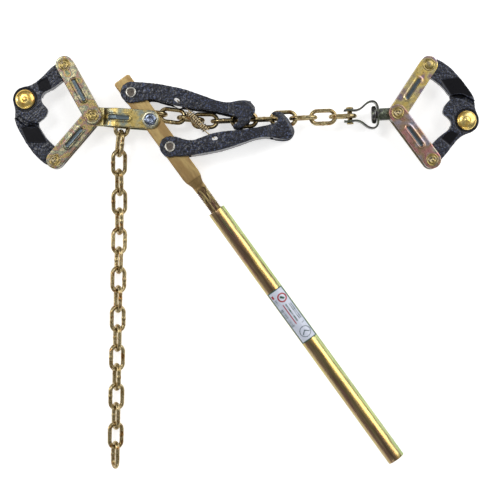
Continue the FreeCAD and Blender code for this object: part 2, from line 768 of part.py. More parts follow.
node(
    "chain_clevis_pin",
    joined(
        [
            cyl(0, 0, 0, "3.5", "23.0", pin_place.multiply(turned(0, 0, -11.5))),
            cyl(0, 0, 0, "5.8", "3.0", pin_place.multiply(turned(0, 0, 9.8))),
            cyl(0, 0, 0, "4.9", "2.4", pin_place.multiply(turned(0, 0, -12.2))),
        ]
    ),
)
axis_place = sw.multiply(turned(0, 0, 0, 0, 90, 0))
node(
    "swivel_stud",
    joined(
        [
            cyl(0, 0, 0, "swivel_head_radius", "6.6", axis_place.multiply(turned(0, 0, 30.6))),
            cyl(0, 0, 0, "swivel_neck_radius", "18.0", axis_place.multiply(turned(0, 0, 36.0))),
        ]
    ),
)
eye_place = sw.multiply(turned(reach, 0, 0))
eye_block = joined(
    [
        cyl(0, 0, 0, "12.3", "15.0", eye_place.multiply(turned(0, 0, -7.5))),
        box(-24.5, -8.2, -7.5, "24.5", "16.4", "15.0", eye_place),
        cyl(0, 0, 0, "8.4", "4.6", axis_place.multiply(turned(0, 0, 41.5))),
    ]
)
node(
    "swivel_eye",
    minus(
        eye_block,
        [
            cyl(0, 0, 0, "grab_pin_radius", "40", eye_place.multiply(turned(0, 0, -20))),
            cyl(0, 0, 0, "swivel_neck_radius + 0.02", "13.0", axis_place.multiply(turned(0, 0, 41.2))),
        ],
    ),
)

# ------------------------------------------------------------------ check and write
doc.recompute()
bad = [o.Label for o in doc.Objects if "Invalid" in o.State or "Error" in o.State]
if bad:
    raise RuntimeError("features that failed: %s" % bad)
os.makedirs("parts", exist_ok=True)
for name, obj in NODES:
    shape = obj.Shape
    if shape.isNull() or not shape.isValid():
        raise RuntimeError("no valid shape: " + name)
    shape.exportStep("parts/%s.step" % name)
    bb = shape.BoundBox
    print(
        "%-26s solids %d volume %9.1f  x %7.2f %7.2f  y %7.2f %7.2f  z %6.2f %6.2f"
        % (name, len(shape.Solids), shape.Volume, bb.XMin, bb.XMax, bb.YMin, bb.YMax, bb.ZMin, bb.ZMax)
    )
print("nodes", len(NODES))
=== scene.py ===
import bpy
import bmesh
import json
import math
import numpy as np
from mathutils import Matrix, Vector
from mathutils.geometry import delaunay_2d_cdt

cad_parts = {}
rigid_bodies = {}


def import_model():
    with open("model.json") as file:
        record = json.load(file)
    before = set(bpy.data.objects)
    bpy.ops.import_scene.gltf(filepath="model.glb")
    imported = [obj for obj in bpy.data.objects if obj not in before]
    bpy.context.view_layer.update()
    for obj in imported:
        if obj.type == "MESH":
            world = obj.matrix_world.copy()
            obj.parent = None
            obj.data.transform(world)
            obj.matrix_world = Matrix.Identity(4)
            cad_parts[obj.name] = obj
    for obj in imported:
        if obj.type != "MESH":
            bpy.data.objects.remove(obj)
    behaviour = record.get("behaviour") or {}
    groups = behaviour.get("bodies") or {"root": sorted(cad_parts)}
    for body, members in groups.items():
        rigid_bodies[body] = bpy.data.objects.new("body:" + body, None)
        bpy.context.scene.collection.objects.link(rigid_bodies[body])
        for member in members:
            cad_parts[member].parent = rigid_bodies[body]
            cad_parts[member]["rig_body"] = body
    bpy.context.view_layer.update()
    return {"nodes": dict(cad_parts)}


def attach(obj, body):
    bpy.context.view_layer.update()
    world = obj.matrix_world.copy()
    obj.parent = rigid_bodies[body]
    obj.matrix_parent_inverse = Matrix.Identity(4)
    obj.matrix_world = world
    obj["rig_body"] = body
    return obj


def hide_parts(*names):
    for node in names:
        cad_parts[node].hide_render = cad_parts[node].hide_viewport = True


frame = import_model()
nodes = frame["nodes"]
BODY = {n: o["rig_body"] for n, o in nodes.items()}

ZM = 29.0
M = (-134.3, 203.32)
P0L = (-216.4, 209.46)
P0R = (214.21, 213.12)
UP = (-161.75, 241.46)
LOW = (-106.84, 165.17)
HU = (-97.12, 230.66)
HL = (-43.86, 176.7)
PIN = (147.54, 210.16)
SP = (46.799, -67.334)
LP = (46.799, 67.334)
JP = (97.226, -13.177)
LINKS = {
    "corner_1": (-174.12, 198.55, 29.0, -107.09, 0, -25.28),
    "corner_2": (-156.55, 212.85, 27.73, 12.11, -3.39, -40.47),
    "slack_1": (-131.02, 213.79, 29.0, -5.57, 0, 83.53),
    "slack_2": (-104.31, 210.14, 29.0, -7, 0, -6),
    "slack_3": (-78.36, 205.64, 29.0, -6, 0, 84),
    "slack_4": (-58.16, 203.24, 29.0, -0.5, 0, 4),
    "work_1": (-30.46, 203.04, 29.0, 2.2, 0, 90),
    "work_2": (-2.481, 204.115, 29.0, 2.2, 0, 0),
    "work_3": (25.499, 205.19, 29.0, 2.2, 0, 90),
    "work_4": (53.478, 206.265, 29.0, 2.2, 0, 0),
    "flex_1": (81.457, 207.339, 29.0, 2.2, 0, 90),
    "flex_2": (109.437, 208.414, 29.0, 2.2, 0, 0),
    "end_1": (137.416, 209.489, 29.0, 2.2, 0, 90),
    "tail_1": (-179.076, 171.234, 27.202, -96, 6, 65),
    "tail_2": (-180.539, 143.716, 23.398, -91.2, 9, -25),
    "tail_3": (-180.759, 116.211, 19.042, -90, 9, 65),
    "tail_4": (-180.878, 88.652, 15.041, -90.4, 7.8, -25),
    "tail_5": (-181.132, 60.936, 12.51, -90.6, 3.62, 65),
    "tail_6": (-181.543, 33.11, 11.837, -91.0, 0, -25),
    "tail_7": (-182.029, 5.264, 11.837, -91.0, 0, 65),
    "tail_8": (-182.515, -22.581, 11.837, -91.0, 0, -25),
    "tail_9": (-183.001, -50.427, 11.837, -91.0, 0, 65),
    "tail_10": (-183.487, -78.273, 11.837, -91.0, 0, -25),
    "tail_11": (-183.973, -106.119, 11.837, -91.0, 0, 65),
    "tail_12": (-184.459, -133.964, 11.837, -91.0, 0, -25),
    "tail_13": (-184.945, -161.81, 11.837, -91.0, 0, 65),
    "tail_14": (-185.431, -189.656, 11.837, -91.0, 0, -25),
    "tail_15": (-185.918, -217.502, 11.837, -91.0, 0, 65),
    "tail_16": (-186.404, -245.347, 11.837, -91.0, 0, -25),
    "tail_17": (-186.89, -273.193, 11.837, -91.0, 0, 65),
}
CHAINS = {
    "chain_body_links": ["corner_1", "corner_2", "slack_1"],
    "chain_slack_links": ["slack_2", "slack_3", "slack_4"],
    "chain_hooked_links": ["work_1", "work_2", "work_3", "work_4"],
    "chain_lead_links": ["flex_1", "flex_2"],
    "chain_end_link": ["end_1"],
    "chain_tail_a": ["tail_1", "tail_2"],
    "chain_tail_b": ["tail_3", "tail_4", "tail_5"],
    "chain_tail_c": ["tail_6", "tail_7", "tail_8"],
    "chain_tail_d": ["tail_9", "tail_10", "tail_11"],
    "chain_tail_e": ["tail_12", "tail_13", "tail_14"],
    "chain_tail_f": ["tail_15", "tail_16", "tail_17"],
}


# ---------------------------------------------------------------- numeric helpers
def lattice(ix, iy, iz, seed):
    h = (ix * 374761393 + iy * 668265263 + iz * 2147483647 + seed * 1274126177) & 0xFFFFFFFF
    h = ((h ^ (h >> 13)) * 1103515245) & 0xFFFFFFFF
    h = (h ^ (h >> 16)) & 0xFFFFFFFF
    return h.astype(np.float64) / 4294967295.0 * 2 - 1


def vnoise(p, size, seed=1):
    """Smooth noise in -1 to 1 with cells of that size, in millimetres."""
    q = np.asarray(p, float) / size
    i = np.floor(q).astype(np.int64)
    f = q - i
    f = f * f * (3 - 2 * f)
    out = 0
    for dx in (0, 1):
        for dy in (0, 1):
            for dz in (0, 1):
                w = (
                    (f[:, 0] if dx else 1 - f[:, 0])
                    * (f[:, 1] if dy else 1 - f[:, 1])
                    * (f[:, 2] if dz else 1 - f[:, 2])
                )
                out = out + w * lattice(i[:, 0] + dx, i[:, 1] + dy, i[:, 2] + dz, seed)
    return out


def step(a, b, x):
    t = np.clip((x - a) / (b - a), 0, 1)
    return t * t * (3 - 2 * t)


def place(x, y, z, yaw=0.0, pitch=0.0, roll=0.0):
    return (
        Matrix.Translation((x, y, z))
        @ Matrix.Rotation(math.radians(yaw), 4, "Z")
        @ Matrix.Rotation(math.radians(pitch), 4, "Y")
        @ Matrix.Rotation(math.radians(roll), 4, "X")
    )


def moved(verts, m):
    a = np.array(m)
    v = np.asarray(verts, float)
    return v @ a[:3, :3].T + a[:3, 3]


def build(name, verts, faces, node, mats, smooth=True, slots=None):
    """A mesh in millimetres that stands for a CAD node and rides its body."""
    me = bpy.data.meshes.new(name)
    me.from_pydata((np.asarray(verts, float) / 1000).tolist(), [], [list(map(int, f)) for f in faces])
    me.validate()
    bm = bmesh.new()
    bm.from_mesh(me)
    bmesh.ops.recalc_face_normals(bm, faces=bm.faces)
    bm.to_mesh(me)
    bm.free()
    me.polygons.foreach_set("use_smooth", [smooth] * len(me.polygons))
    o = bpy.data.objects.new(name, me)
    bpy.context.scene.collection.objects.link(o)
    for m in mats if isinstance(mats, (list, tuple)) else [mats]:
        me.materials.append(m)
    if slots is not None:
        me.polygons.foreach_set("material_index", slots)
    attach(o, BODY[node])
    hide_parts(node)
    return o


def merged(parts):
    verts, faces, base = [], [], 0
    for v, f in parts:
        verts.append(np.asarray(v, float))
        faces += [[i + base for i in q] for q in f]
        base += len(v)
    return np.vstack(verts), faces


def tube(points, radius, n=20, closed=False, swell=None):
    """A round wire swept along points."""
    p = np.asarray(points, float)
    k = len(p)
    nxt = np.roll(p, -1, 0) if closed else np.vstack([p[1:], 2 * p[-1] - p[-2]])
    prv = np.roll(p, 1, 0) if closed else np.vstack([2 * p[0] - p[1], p[:-1]])
    t = nxt - prv
    t /= np.linalg.norm(t, axis=1)[:, None]
    u = np.zeros_like(p)
    ref = np.array([0, 0, 1.0]) if abs(t[0][2]) < 0.8 else np.array([1.0, 0, 0])
    u0 = np.cross(t[0], ref)
    u[0] = u0 / np.linalg.norm(u0)
    for i in range(1, k):
        w = u[i - 1] - t[i] * np.dot(u[i - 1], t[i])
        u[i] = w / np.linalg.norm(w)
    if closed:  # spread the leftover twist
        w = u[-1] - t[0] * np.dot(u[-1], t[0])
        w /= np.linalg.norm(w)
        ang = math.atan2(np.dot(np.cross(w, u[0]), t[0]), np.dot(w, u[0]))
        for i in range(k):
            a = ang * i / k
            b = np.cross(t[i], u[i])
            u[i] = u[i] * math.cos(a) + b * math.sin(a)
    b = np.cross(t, u)
    ang = np.linspace(0, 2 * math.pi, n, endpoint=False)
    r = np.full((k, n), radius)
    if swell is not None:
        r = r * swell(np.arange(k) / k, ang)
    ring = (
        p[:, None, :]
        + r[:, :, None] * (np.cos(ang)[None, :, None] * u[:, None, :] + np.sin(ang)[None, :, None] * b[:, None, :])
    )
    verts = ring.reshape(-1, 3)
    faces = []
    for i in range(k if closed else k - 1):
        j = (i + 1) % k
        for a in range(n):
            c = (a + 1) % n
            faces.append([i * n + a, i * n + c, j * n + c, j * n + a])
    if not closed:
        v = list(verts)
        for i, s in ((0, -1), (k - 1, 1)):
            base = len(v)
            cap = p[i] + s * t[i] * radius * 0.35
            inner = p[i] + 0.6 * (ring[i] - p[i]) + s * t[i] * radius * 0.25
            v += list(inner) + [cap]
            for a in range(n):
                c = (a + 1) % n
                faces.append([i * n + a, i * n + c, base + c, base + a])
                faces.append([base + a, base + c, base + n])
        verts = np.array(v)
    return verts, faces


def lathe(profile, n=48, m=None, ring=False):
    """Spins (radius, height) pairs about Z. A ring profile closes on itself; otherwise both ends lie on the axis."""
    prof = list(profile)
    verts, rows = [], []
    ang = np.linspace(0, 2 * math.pi, n, endpoint=False)
    for r, z in prof:
        if r < 1e-6 and not ring:
            rows.append([len(verts)])
            verts.append((0, 0, z))
        else:
            rows.append(list(range(len(verts), len(verts) + n)))
            verts += [(r * math.cos(a), r * math.sin(a), z) for a in ang]
    faces = []
    pairs = list(zip(rows, rows[1:])) + ([(rows[-1], rows[0])] if ring else [])
    for a, b in pairs:
        for i in range(n):
            j = (i + 1) % n
            q = [a[i % len(a)], a[j % len(a)], b[j % len(b)], b[i % len(b)]]
            q2 = []
            for x in q:
                if x not in q2:
                    q2.append(x)
            if len(q2) > 2:
                faces.append(q2)
    v = np.array(verts, float)
    return (moved(v, m) if m is not None else v), faces


def resample(poly, gap):
    out = []
    for (ax, ay), (bx, by) in zip(poly, poly[1:] + poly[:1]):
        d = math.hypot(bx - ax, by - ay)
        k = max(1, int(round(d / gap)))
        out += [(ax + (bx - ax) * i / k, ay + (by - ay) * i / k) for i in range(k)]
    return out


def inside(poly, pts):
    p = np.asarray(poly, float)
    q = np.roll(p, -1, 0)
    x, y = pts[:, 0][:, None], pts[:, 1][:, None]
    cond = (p[:, 1] > y) != (q[:, 1] > y)
    xi = (q[:, 0] - p[:, 0]) * (y - p[:, 1]) / np.where(q[:, 1] == p[:, 1], 1e-12, q[:, 1] - p[:, 1]) + p[:, 0]
    return (np.sum(cond & (x < xi), 1) % 2) == 1


def edge_dist(poly, pts):
    p = np.asarray(poly, float)
    d = np.roll(p, -1, 0) - p
    best = np.full(len(pts), 1e9)
    for a, e in zip(p, d):
        l2 = max(e @ e, 1e-12)
        t = np.clip(((pts - a) @ e) / l2, 0, 1)
        best = np.minimum(best, np.hypot(*(pts - a - t[:, None] * e).T))
    return best


def slab(outline, top, bottom, m, holes=(), bevel=0.7, gap=1.1, grid=1.6, relief=None, relief_low=None, walls=2):
    """A plate with rounded edges: outline and holes in plan, top and bottom heights as functions of plan points."""
    loops = [resample(list(map(tuple, outline)), gap)]
    for cx, cy, r in holes:
        k = max(20, int(2 * math.pi * r / gap))
        loops.append([(cx + r * math.cos(2 * math.pi * i / k), cy + r * math.sin(2 * math.pi * i / k)) for i in range(k)])
    pts = [np.array(l) for l in loops]
    n_edge = sum(len(p) for p in pts)

    def dist(q):
        return np.min([edge_dist(l, q) for l in loops], 0)

    def ok(q):
        keep = inside(loops[0], q)
        for l in loops[1:]:
            keep &= ~inside(l, q)
        return keep

    extra = []
    for l in loops:
        a = np.array(l)
        t = np.roll(a, -1, 0) - np.roll(a, 1, 0)
        nrm = np.stack([-t[:, 1], t[:, 0]], 1) / np.linalg.norm(t, axis=1)[:, None]
        for w in (0.12, 0.42, 1.0):
            for s in (1, -1):
                q = a + nrm * s * w * bevel
                q = q[ok(q)]
                if len(q):
                    q = q[dist(q) > 0.93 * w * bevel]
                    extra.append(q)
    lo, hi = pts[0].min(0), pts[0].max(0)
    xs = np.arange(lo[0] + grid / 2, hi[0], grid)
    ys = np.arange(lo[1] + grid / 2, hi[1], grid * 0.866)
    gx, gy = np.meshgrid(xs, ys)
    gx = gx + (np.arange(len(ys)) % 2)[:, None] * grid / 2
    q = np.stack([gx.ravel(), gy.ravel()], 1)
    q = q[ok(q)]
    q = q[dist(q) > bevel + 0.45 * grid]
    extra.append(q)
    flat = np.vstack(pts + extra)
    edges, base = [], 0
    for l in loops:
        k = len(l)
        edges += [(base + i, base + (i + 1) % k) for i in range(k)]
        base += k
    vc, _, tris, *_ = delaunay_2d_cdt([Vector(p) for p in flat.tolist()], edges, [], 0, 1e-5)
    xy = np.array([tuple(v) for v in vc])
    tri = np.array([list(t) for t in tris])
    keep = ok(xy[tri].mean(1))
    tri = tri[keep]
    a, b, c = xy[tri[:, 0]], xy[tri[:, 1]], xy[tri[:, 2]]
    area = (b[:, 0] - a[:, 0]) * (c[:, 1] - a[:, 1]) - (b[:, 1] - a[:, 1]) * (c[:, 0] - a[:, 0])
    tri = tri[np.abs(area) > 1e-7]
    area = area[np.abs(area) > 1e-7]
    tri[area < 0] = tri[area < 0][:, ::-1]
    d = dist(xy)
    d[d < 1e-4] = 0
    drop = np.where(d < bevel, bevel * (1 - np.sqrt(np.clip(1 - (1 - d / bevel) ** 2, 0, 1))), 0)
    zt = top(xy) - drop
    zb = bottom(xy) + drop
    fade = step(0, bevel * 1.5, d)
    if relief is not None:
        zt = zt + relief(xy, d) * fade
    if relief_low is not None:
        zb = zb + relief_low(xy, d) * fade
    n = len(xy)
    verts = [np.column_stack([xy, zt]), np.column_stack([xy, zb])]
    faces = [list(t) for t in tri] + [[x + n for x in t[::-1]] for t in tri]
    # walls between the two rims
    count = {}
    for t in tri:
        for i in range(3):
            e = (t[i], t[(i + 1) % 3])
            count[e] = count.get(e, 0) + 1
    rim = [e for e in count if (e[1], e[0]) not in count]
    cols = {}
    base = 2 * n
    extra_v = []
    for e in rim:
        for v in e:
            if v not in cols:
                ids = [v]
                for k in range(1, walls):
                    f = k / walls
                    extra_v.append((xy[v][0], xy[v][1], zt[v] * (1 - f) + zb[v] * f))
                    ids.append(base)
                    base += 1
                ids.append(v + n)
                cols[v] = ids
    for a, b in rim:
        for k in range(walls):
            faces.append([cols[b][k], cols[a][k], cols[a][k + 1], cols[b][k + 1]])
    if extra_v:
        verts.append(np.array(extra_v))
    return moved(np.vstack(verts), m), faces


def capsule(length, half, n=28):
    a = [math.pi / 2 + math.pi * i / n for i in range(n + 1)]
    b = [-math.pi / 2 + math.pi * i / n for i in range(n + 1)]
    return [(half * math.cos(t), half * math.sin(t)) for t in a] + [
        (length + half * math.cos(t), half * math.sin(t)) for t in b
    ]


def seg_dist(xy, a, b):
    a, b = np.array(a, float), np.array(b, float)
    e = b - a
    t = np.clip(((xy - a) @ e) / (e @ e), 0, 1)
    return np.hypot(*(xy - a - t[:, None] * e).T)


def pressed(x0, x1, r, rim=0.75, deep=1.3):
    """A long slot pressed into a plate, with a raised lip round it."""

    def f(xy, d):
        s = seg_dist(xy, (x0, 0), (x1, 0))
        lip = np.exp(-(((s - r) / 1.0) ** 2)) * rim
        return lip - deep * (1 - step(r - 2.1, r - 0.6, s))

    return f


# ---------------------------------------------------------------- materials
def tree(name):
    m = bpy.data.materials.new(name)
    m.use_nodes = True
    nt = m.node_tree
    bsdf = [n for n in nt.nodes if n.type == "BSDF_PRINCIPLED"][0]
    return m, nt, bsdf


def coords(nt, turn=0.0, scale=(1, 1, 1)):
    tc = nt.nodes.new("ShaderNodeTexCoord")
    mp = nt.nodes.new("ShaderNodeMapping")
    mp.vector_type = "TEXTURE"
    mp.inputs["Rotation"].default_value = (0, 0, math.radians(turn))
    mp2 = nt.nodes.new("ShaderNodeMapping")
    mp2.inputs["Scale"].default_value = scale
    nt.links.new(tc.outputs["Object"], mp.inputs["Vector"])
    nt.links.new(mp.outputs["Vector"], mp2.inputs["Vector"])
    return mp2.outputs["Vector"]


def noise(nt, vec, scale, detail=3.0, rough=0.55):
    n = nt.nodes.new("ShaderNodeTexNoise")
    n.inputs["Scale"].default_value = scale
    n.inputs["Detail"].default_value = detail
    n.inputs["Roughness"].default_value = rough
    nt.links.new(vec, n.inputs["Vector"])
    return n.outputs["Fac"]


def ramp(nt, fac, stops):
    r = nt.nodes.new("ShaderNodeValToRGB")
    el = r.color_ramp.elements
    while len(el) < len(stops):
        el.new(0.5)
    for e, (p, c) in zip(el, stops):
        e.position = p
        e.color = (*c, 1)
    nt.links.new(fac, r.inputs["Fac"])
    return r.outputs["Color"]


def mix(nt, fac, a, b, mode="MIX"):
    n = nt.nodes.new("ShaderNodeMix")
    n.data_type = "RGBA"
    n.blend_type = mode
    for sock, val in ((n.inputs[0], fac), (n.inputs[6], a), (n.inputs[7], b)):
        if isinstance(val, (int, float)):
            sock.default_value = val
        elif isinstance(val, tuple):
            sock.default_value = (*val, 1)
        else:
            nt.links.new(val, sock)
    return n.outputs[2]


def rng(nt, val, a, b, c, d):
    n = nt.nodes.new("ShaderNodeMapRange")
    nt.links.new(val, n.inputs["Value"])
    for k, x in (("From Min", a), ("From Max", b), ("To Min", c), ("To Max", d)):
        n.inputs[k].default_value = x
    return n.outputs["Result"]


def bump(nt, bsdf, height, strength, dist):
    b = nt.nodes.new("ShaderNodeBump")
    b.inputs["Strength"].default_value = strength
    b.inputs["Distance"].default_value = dist
    nt.links.new(height, b.inputs["Height"])
    nt.links.new(b.outputs["Normal"], bsdf.inputs["Normal"])


def plated(name, stops, turn=0.0, stretch=(1, 1, 1), scale=45.0, rough=(0.22, 0.42), dark=(0.10, 0.07, 0.05), stain=0.35, brush=0.0, reflection_band=None, grainy=0.25):
    """Zinc plate: drifting tints, small stains and fine drawn lines, with painted shade on the floor of pressed grooves
    and, where given, painted reflection bands.
    """
    m, nt, b = tree(name)
    v = coords(nt, turn, stretch)
    base = ramp(nt, noise(nt, v, scale, 2.5, 0.6), stops)
    spots = rng(nt, noise(nt, v, scale * 6, 4, 0.7), 0.45, 0.75, 0.0, stain)
    # Where given, painted reflection bands cover two thirds of the plating tints.
    if reflection_band is not None:
        base = mix(nt, 0.66, base, reflection_band(nt))
    col = mix(nt, spots, base, dark)
    # Painted shade: the floor of a pressed groove is darkened to a blue-grey.
    at = nt.nodes.new("ShaderNodeAttribute")
    at.attribute_name = "groove"
    col = mix(nt, at.outputs["Fac"], col, (0.09, 0.115, 0.13))
    nt.links.new(col, b.inputs["Base Color"])
    b.inputs["Metallic"].default_value = 1.0
    fine = noise(nt, coords(nt, turn, (1, 30, 30) if brush else (1, 1, 1)), 60 if brush else 420, 4, 0.7)
    nt.links.new(rng(nt, fine, 0.3, 0.7, rough[0], rough[1]), b.inputs["Roughness"])
    bump(nt, b, fine, grainy + brush, 0.0003)
    return m


GOLD = (0.72, 0.50, 0.13)
PALE = (0.58, 0.49, 0.24)
OLIVE = (0.22, 0.19, 0.07)
TAN = (0.35, 0.23, 0.10)
PINK = (0.50, 0.22, 0.22)
BLUE = (0.20, 0.28, 0.38)
GREEN = (0.28, 0.40, 0.18)
PURPLE = (0.26, 0.16, 0.26)
BROWN = (0.18, 0.09, 0.04)
GREY = (0.26, 0.26, 0.24)
LEVER_DIR = -54.07
mat_link_l = plated("zinc_links_left", [(0.30, (0.12, 0.15, 0.10)), (0.40, (0.34, 0.26, 0.10)), (0.47, (0.25, 0.15, 0.13)), (0.54, (0.18, 0.21, 0.15)), (0.61, (0.44, 0.38, 0.22)), (0.70, (0.15, 0.12, 0.16))], scale=75)
mat_link_r1 = plated("zinc_links_right_upper", [(0.28, PURPLE), (0.40, (0.70, 0.52, 0.14)), (0.50, PALE), (0.60, (0.32, 0.22, 0.24)), (0.72, BLUE)], scale=42)
mat_link_r2 = plated("zinc_links_right_lower", [(0.28, BLUE), (0.38, (0.40, 0.34, 0.38)), (0.48, (0.38, 0.26, 0.16)), (0.58, PINK), (0.68, (0.46, 0.42, 0.34)), (0.78, (0.36, 0.27, 0.10))], scale=42)
mat_back = plated("zinc_back_plates", [(0.3, (0.24, 0.22, 0.18)), (0.5, (0.36, 0.31, 0.20)), (0.7, (0.22, 0.20, 0.24))], scale=60)
mat_tension = plated("zinc_tension_plate", [(0.25, OLIVE), (0.40, (0.48, 0.36, 0.12)), (0.52, (0.36, 0.34, 0.20)), (0.62, (0.20, 0.24, 0.22)), (0.74, GOLD)], scale=65)
mat_lever = plated("zinc_lever", [(0.25, (0.30, 0.20, 0.08)), (0.45, TAN), (0.58, (0.48, 0.35, 0.15)), (0.75, (0.32, 0.19, 0.09))], turn=LEVER_DIR, stretch=(0.25, 1, 1), scale=70, rough=(0.32, 0.5), brush=0.2)
# Shank: plating tints stretched along the lever, whose near-black and bright streaks are painted reflections along its
# flat faces.
mat_shank = plated("zinc_shank_reflection_streaks", [(0.28, (0.07, 0.05, 0.03)), (0.40, (0.30, 0.20, 0.10)), (0.48, (0.08, 0.05, 0.03)), (0.56, (0.46, 0.36, 0.16)), (0.64, (0.12, 0.07, 0.05)), (0.74, (0.34, 0.20, 0.13))], turn=LEVER_DIR, stretch=(0.2, 1, 1), scale=120, brush=0.2)
ACROSS = (-M[0] * math.sin(math.radians(LEVER_DIR)) + M[1] * math.cos(math.radians(LEVER_DIR))) / 1000


def tube_reflection_bands(nt):
    """Painted reflections: colour bands that run the length of the tube, side by side across it, in the tints of the
    plating.
    """
    v = coords(nt, LEVER_DIR)
    sep = nt.nodes.new("ShaderNodeSeparateXYZ")
    nt.links.new(v, sep.inputs[0])
    t = rng(nt, sep.outputs["Y"], ACROSS - 0.0127, ACROSS + 0.0127, 0.0, 1.0)
    w = rng(nt, noise(nt, coords(nt, LEVER_DIR, (0.15, 1, 1)), 220, 3, 0.6), 0.2, 0.8, -0.10, 0.10)
    add = nt.nodes.new("ShaderNodeMath")
    add.operation = "ADD"
    nt.links.new(t, add.inputs[0])
    nt.links.new(w, add.inputs[1])
    return ramp(nt, add.outputs[0], [
        (0.02, (0.55, 0.50, 0.10)), (0.10, (0.40, 0.28, 0.16)), (0.24, (0.34, 0.19, 0.15)), (0.36, (0.20, 0.13, 0.09)),
        (0.45, (0.13, 0.10, 0.05)), (0.54, (0.44, 0.26, 0.12)), (0.62, (0.80, 0.52, 0.13)), (0.74, (0.78, 0.60, 0.22)),
        (0.82, (0.15, 0.16, 0.05)), (0.89, (0.56, 0.70, 0.32)), (0.98, (0.26, 0.46, 0.12)),
    ])


mat_tube = plated("zinc_tube", [(0.22, BROWN), (0.34, (0.46, 0.35, 0.12)), (0.44, (0.62, 0.54, 0.25)), (0.53, (0.34, 0.22, 0.12)), (0.62, (0.42, 0.25, 0.20)), (0.72, GREEN)], turn=LEVER_DIR, stretch=(0.10, 1, 1), scale=100, rough=(0.20, 0.38), stain=0.25, brush=0.12, reflection_band=tube_reflection_bands)
mat_chain = plated("zinc_chain", [(0.28, (0.20, 0.09, 0.03)), (0.42, (0.36, 0.27, 0.12)), (0.54, (0.52, 0.43, 0.24)), (0.68, (0.28, 0.14, 0.04))], scale=110, rough=(0.20, 0.36), stain=0.3, dark=(0.12, 0.08, 0.05))
mat_rivet = plated("zinc_rivets", [(0.28, OLIVE), (0.45, (0.50, 0.38, 0.14)), (0.58, (0.30, 0.25, 0.17)), (0.72, (0.46, 0.38, 0.18))], scale=160)
mat_bolt = plated("yellow_zinc_jaw_bolt", [(0.26, (0.72, 0.32, 0.14)), (0.42, (0.90, 0.60, 0.14)), (0.56, (0.92, 0.70, 0.26)), (0.72, (0.50, 0.42, 0.16))], scale=120, rough=(0.18, 0.34), stain=0.2)
mat_grey = plated("grey_zinc", [(0.30, (0.06, 0.075, 0.06)), (0.45, (0.16, 0.18, 0.13)), (0.56, (0.09, 0.09, 0.10)), (0.70, (0.22, 0.21, 0.15))], scale=90)
mat_steel = plated("blued_steel", [(0.3, (0.06, 0.08, 0.13)), (0.5, (0.30, 0.36, 0.48)), (0.7, (0.12, 0.14, 0.20))], scale=160, rough=(0.18, 0.35))
mat_pin = plated("pin_steel", [(0.3, (0.34, 0.33, 0.30)), (0.5, (0.58, 0.57, 0.52)), (0.7, (0.44, 0.40, 0.34))], scale=150, rough=(0.25, 0.45))
mat_face = plated("pin_face", [(0.3, (0.06, 0.055, 0.05)), (0.5, (0.15, 0.13, 0.11)), (0.7, (0.08, 0.07, 0.065))], scale=220, rough=(0.45, 0.6))
mat_washer = plated("washer_zinc", [(0.3, (0.36, 0.36, 0.24)), (0.5, (0.60, 0.58, 0.44)), (0.7, (0.36, 0.40, 0.40))], scale=120)
mat_spring = plated("spring_wire_plate", [(0.3, (0.36, 0.26, 0.14)), (0.5, (0.62, 0.50, 0.30)), (0.7, (0.44, 0.38, 0.30))], scale=120, rough=(0.24, 0.30), grainy=0.03, stain=0.1)


def casting(name, tone=(0.004, 0.0045, 0.008), light=(0.09, 0.12, 0.24)):
    m, nt, b = tree(name)
    v = coords(nt)
    grain = noise(nt, v, 520, 3, 0.6)
    big = noise(nt, v, 60, 3, 0.6)
    at = nt.nodes.new("ShaderNodeAttribute")
    at.attribute_name = "panel_and_bolt_shade"
    speck = rng(nt, grain, 0.53, 0.70, 0.0, 1.0)
    col = mix(nt, speck, tone, light)
    col = mix(nt, rng(nt, big, 0.35, 0.7, 0.0, 0.35), col, (0.02, 0.022, 0.034))
    # Panels are painted near-black and smooth; round the jaw bolts the same mark is a painted shadow ring.
    col = mix(nt, at.outputs["Fac"], col, (0.006, 0.006, 0.008))
    nt.links.new(col, b.inputs["Base Color"])
    b.inputs["Metallic"].default_value = 0.15
    rough = rng(nt, grain, 0.3, 0.7, 0.26, 0.48)
    nt.links.new(rough, b.inputs["Roughness"])
    nt.links.new(rng(nt, at.outputs["Fac"], 0, 1, 0.42, 0.10), b.inputs["Specular IOR Level"])
    nt.links.new(rng(nt, at.outputs["Fac"], 0, 1, 0.25, 0.0), b.inputs["Coat Weight"])
    b.inputs["Coat Roughness"].default_value = 0.16
    keep = nt.nodes.new("ShaderNodeMath")
    keep.operation = "SUBTRACT"
    keep.inputs[0].default_value = 1.0
    nt.links.new(at.outputs["Fac"], keep.inputs[1])
    h = nt.nodes.new("ShaderNodeMath")
    h.operation = "MULTIPLY"
    nt.links.new(grain, h.inputs[0])
    nt.links.new(keep.outputs[0], h.inputs[1])
    bump(nt, b, h.outputs[0], 0.6, 0.0006)
    return m


mat_cast = casting("black_casting")


def paper(name, a, b_, scale=300):
    m, nt, b = tree(name)
    v = coords(nt)
    nt.links.new(mix(nt, noise(nt, v, scale, 3), a, b_), b.inputs["Base Color"])
    b.inputs["Roughness"].default_value = 0.45
    b.inputs["Coat Weight"].default_value = 0.3
    return m


mat_paper = paper("label_white", (0.66, 0.70, 0.80), (0.54, 0.58, 0.70))
mat_green = paper("label_green", (0.005, 0.045, 0.025), (0.01, 0.09, 0.05))
mat_red = paper("label_red", (0.42, 0.02, 0.03), (0.30, 0.01, 0.02))
mat_ink = paper("label_ink", (0.01, 0.025, 0.03), (0.05, 0.11, 0.13))


# ---------------------------------------------------------------- chain
def link_line(n_arc=22, n_run=14, half=8.2, r=9.0):
    pts = []
    for i in range(n_run):
        pts.append((-half + 2 * half * i / n_run, -r, 0))
    for i in range(n_arc):
        a = -math.pi / 2 + math.pi * i / n_arc
        pts.append((half + r * math.cos(a), r * math.sin(a), 0))
    for i in range(n_run):
        pts.append((half - 2 * half * i / n_run, r, 0))
    for i in range(n_arc):
        a = math.pi / 2 + math.pi * i / n_arc
        pts.append((-half + r * math.cos(a), r * math.sin(a), 0))
    return np.array(pts)


LINE = link_line()


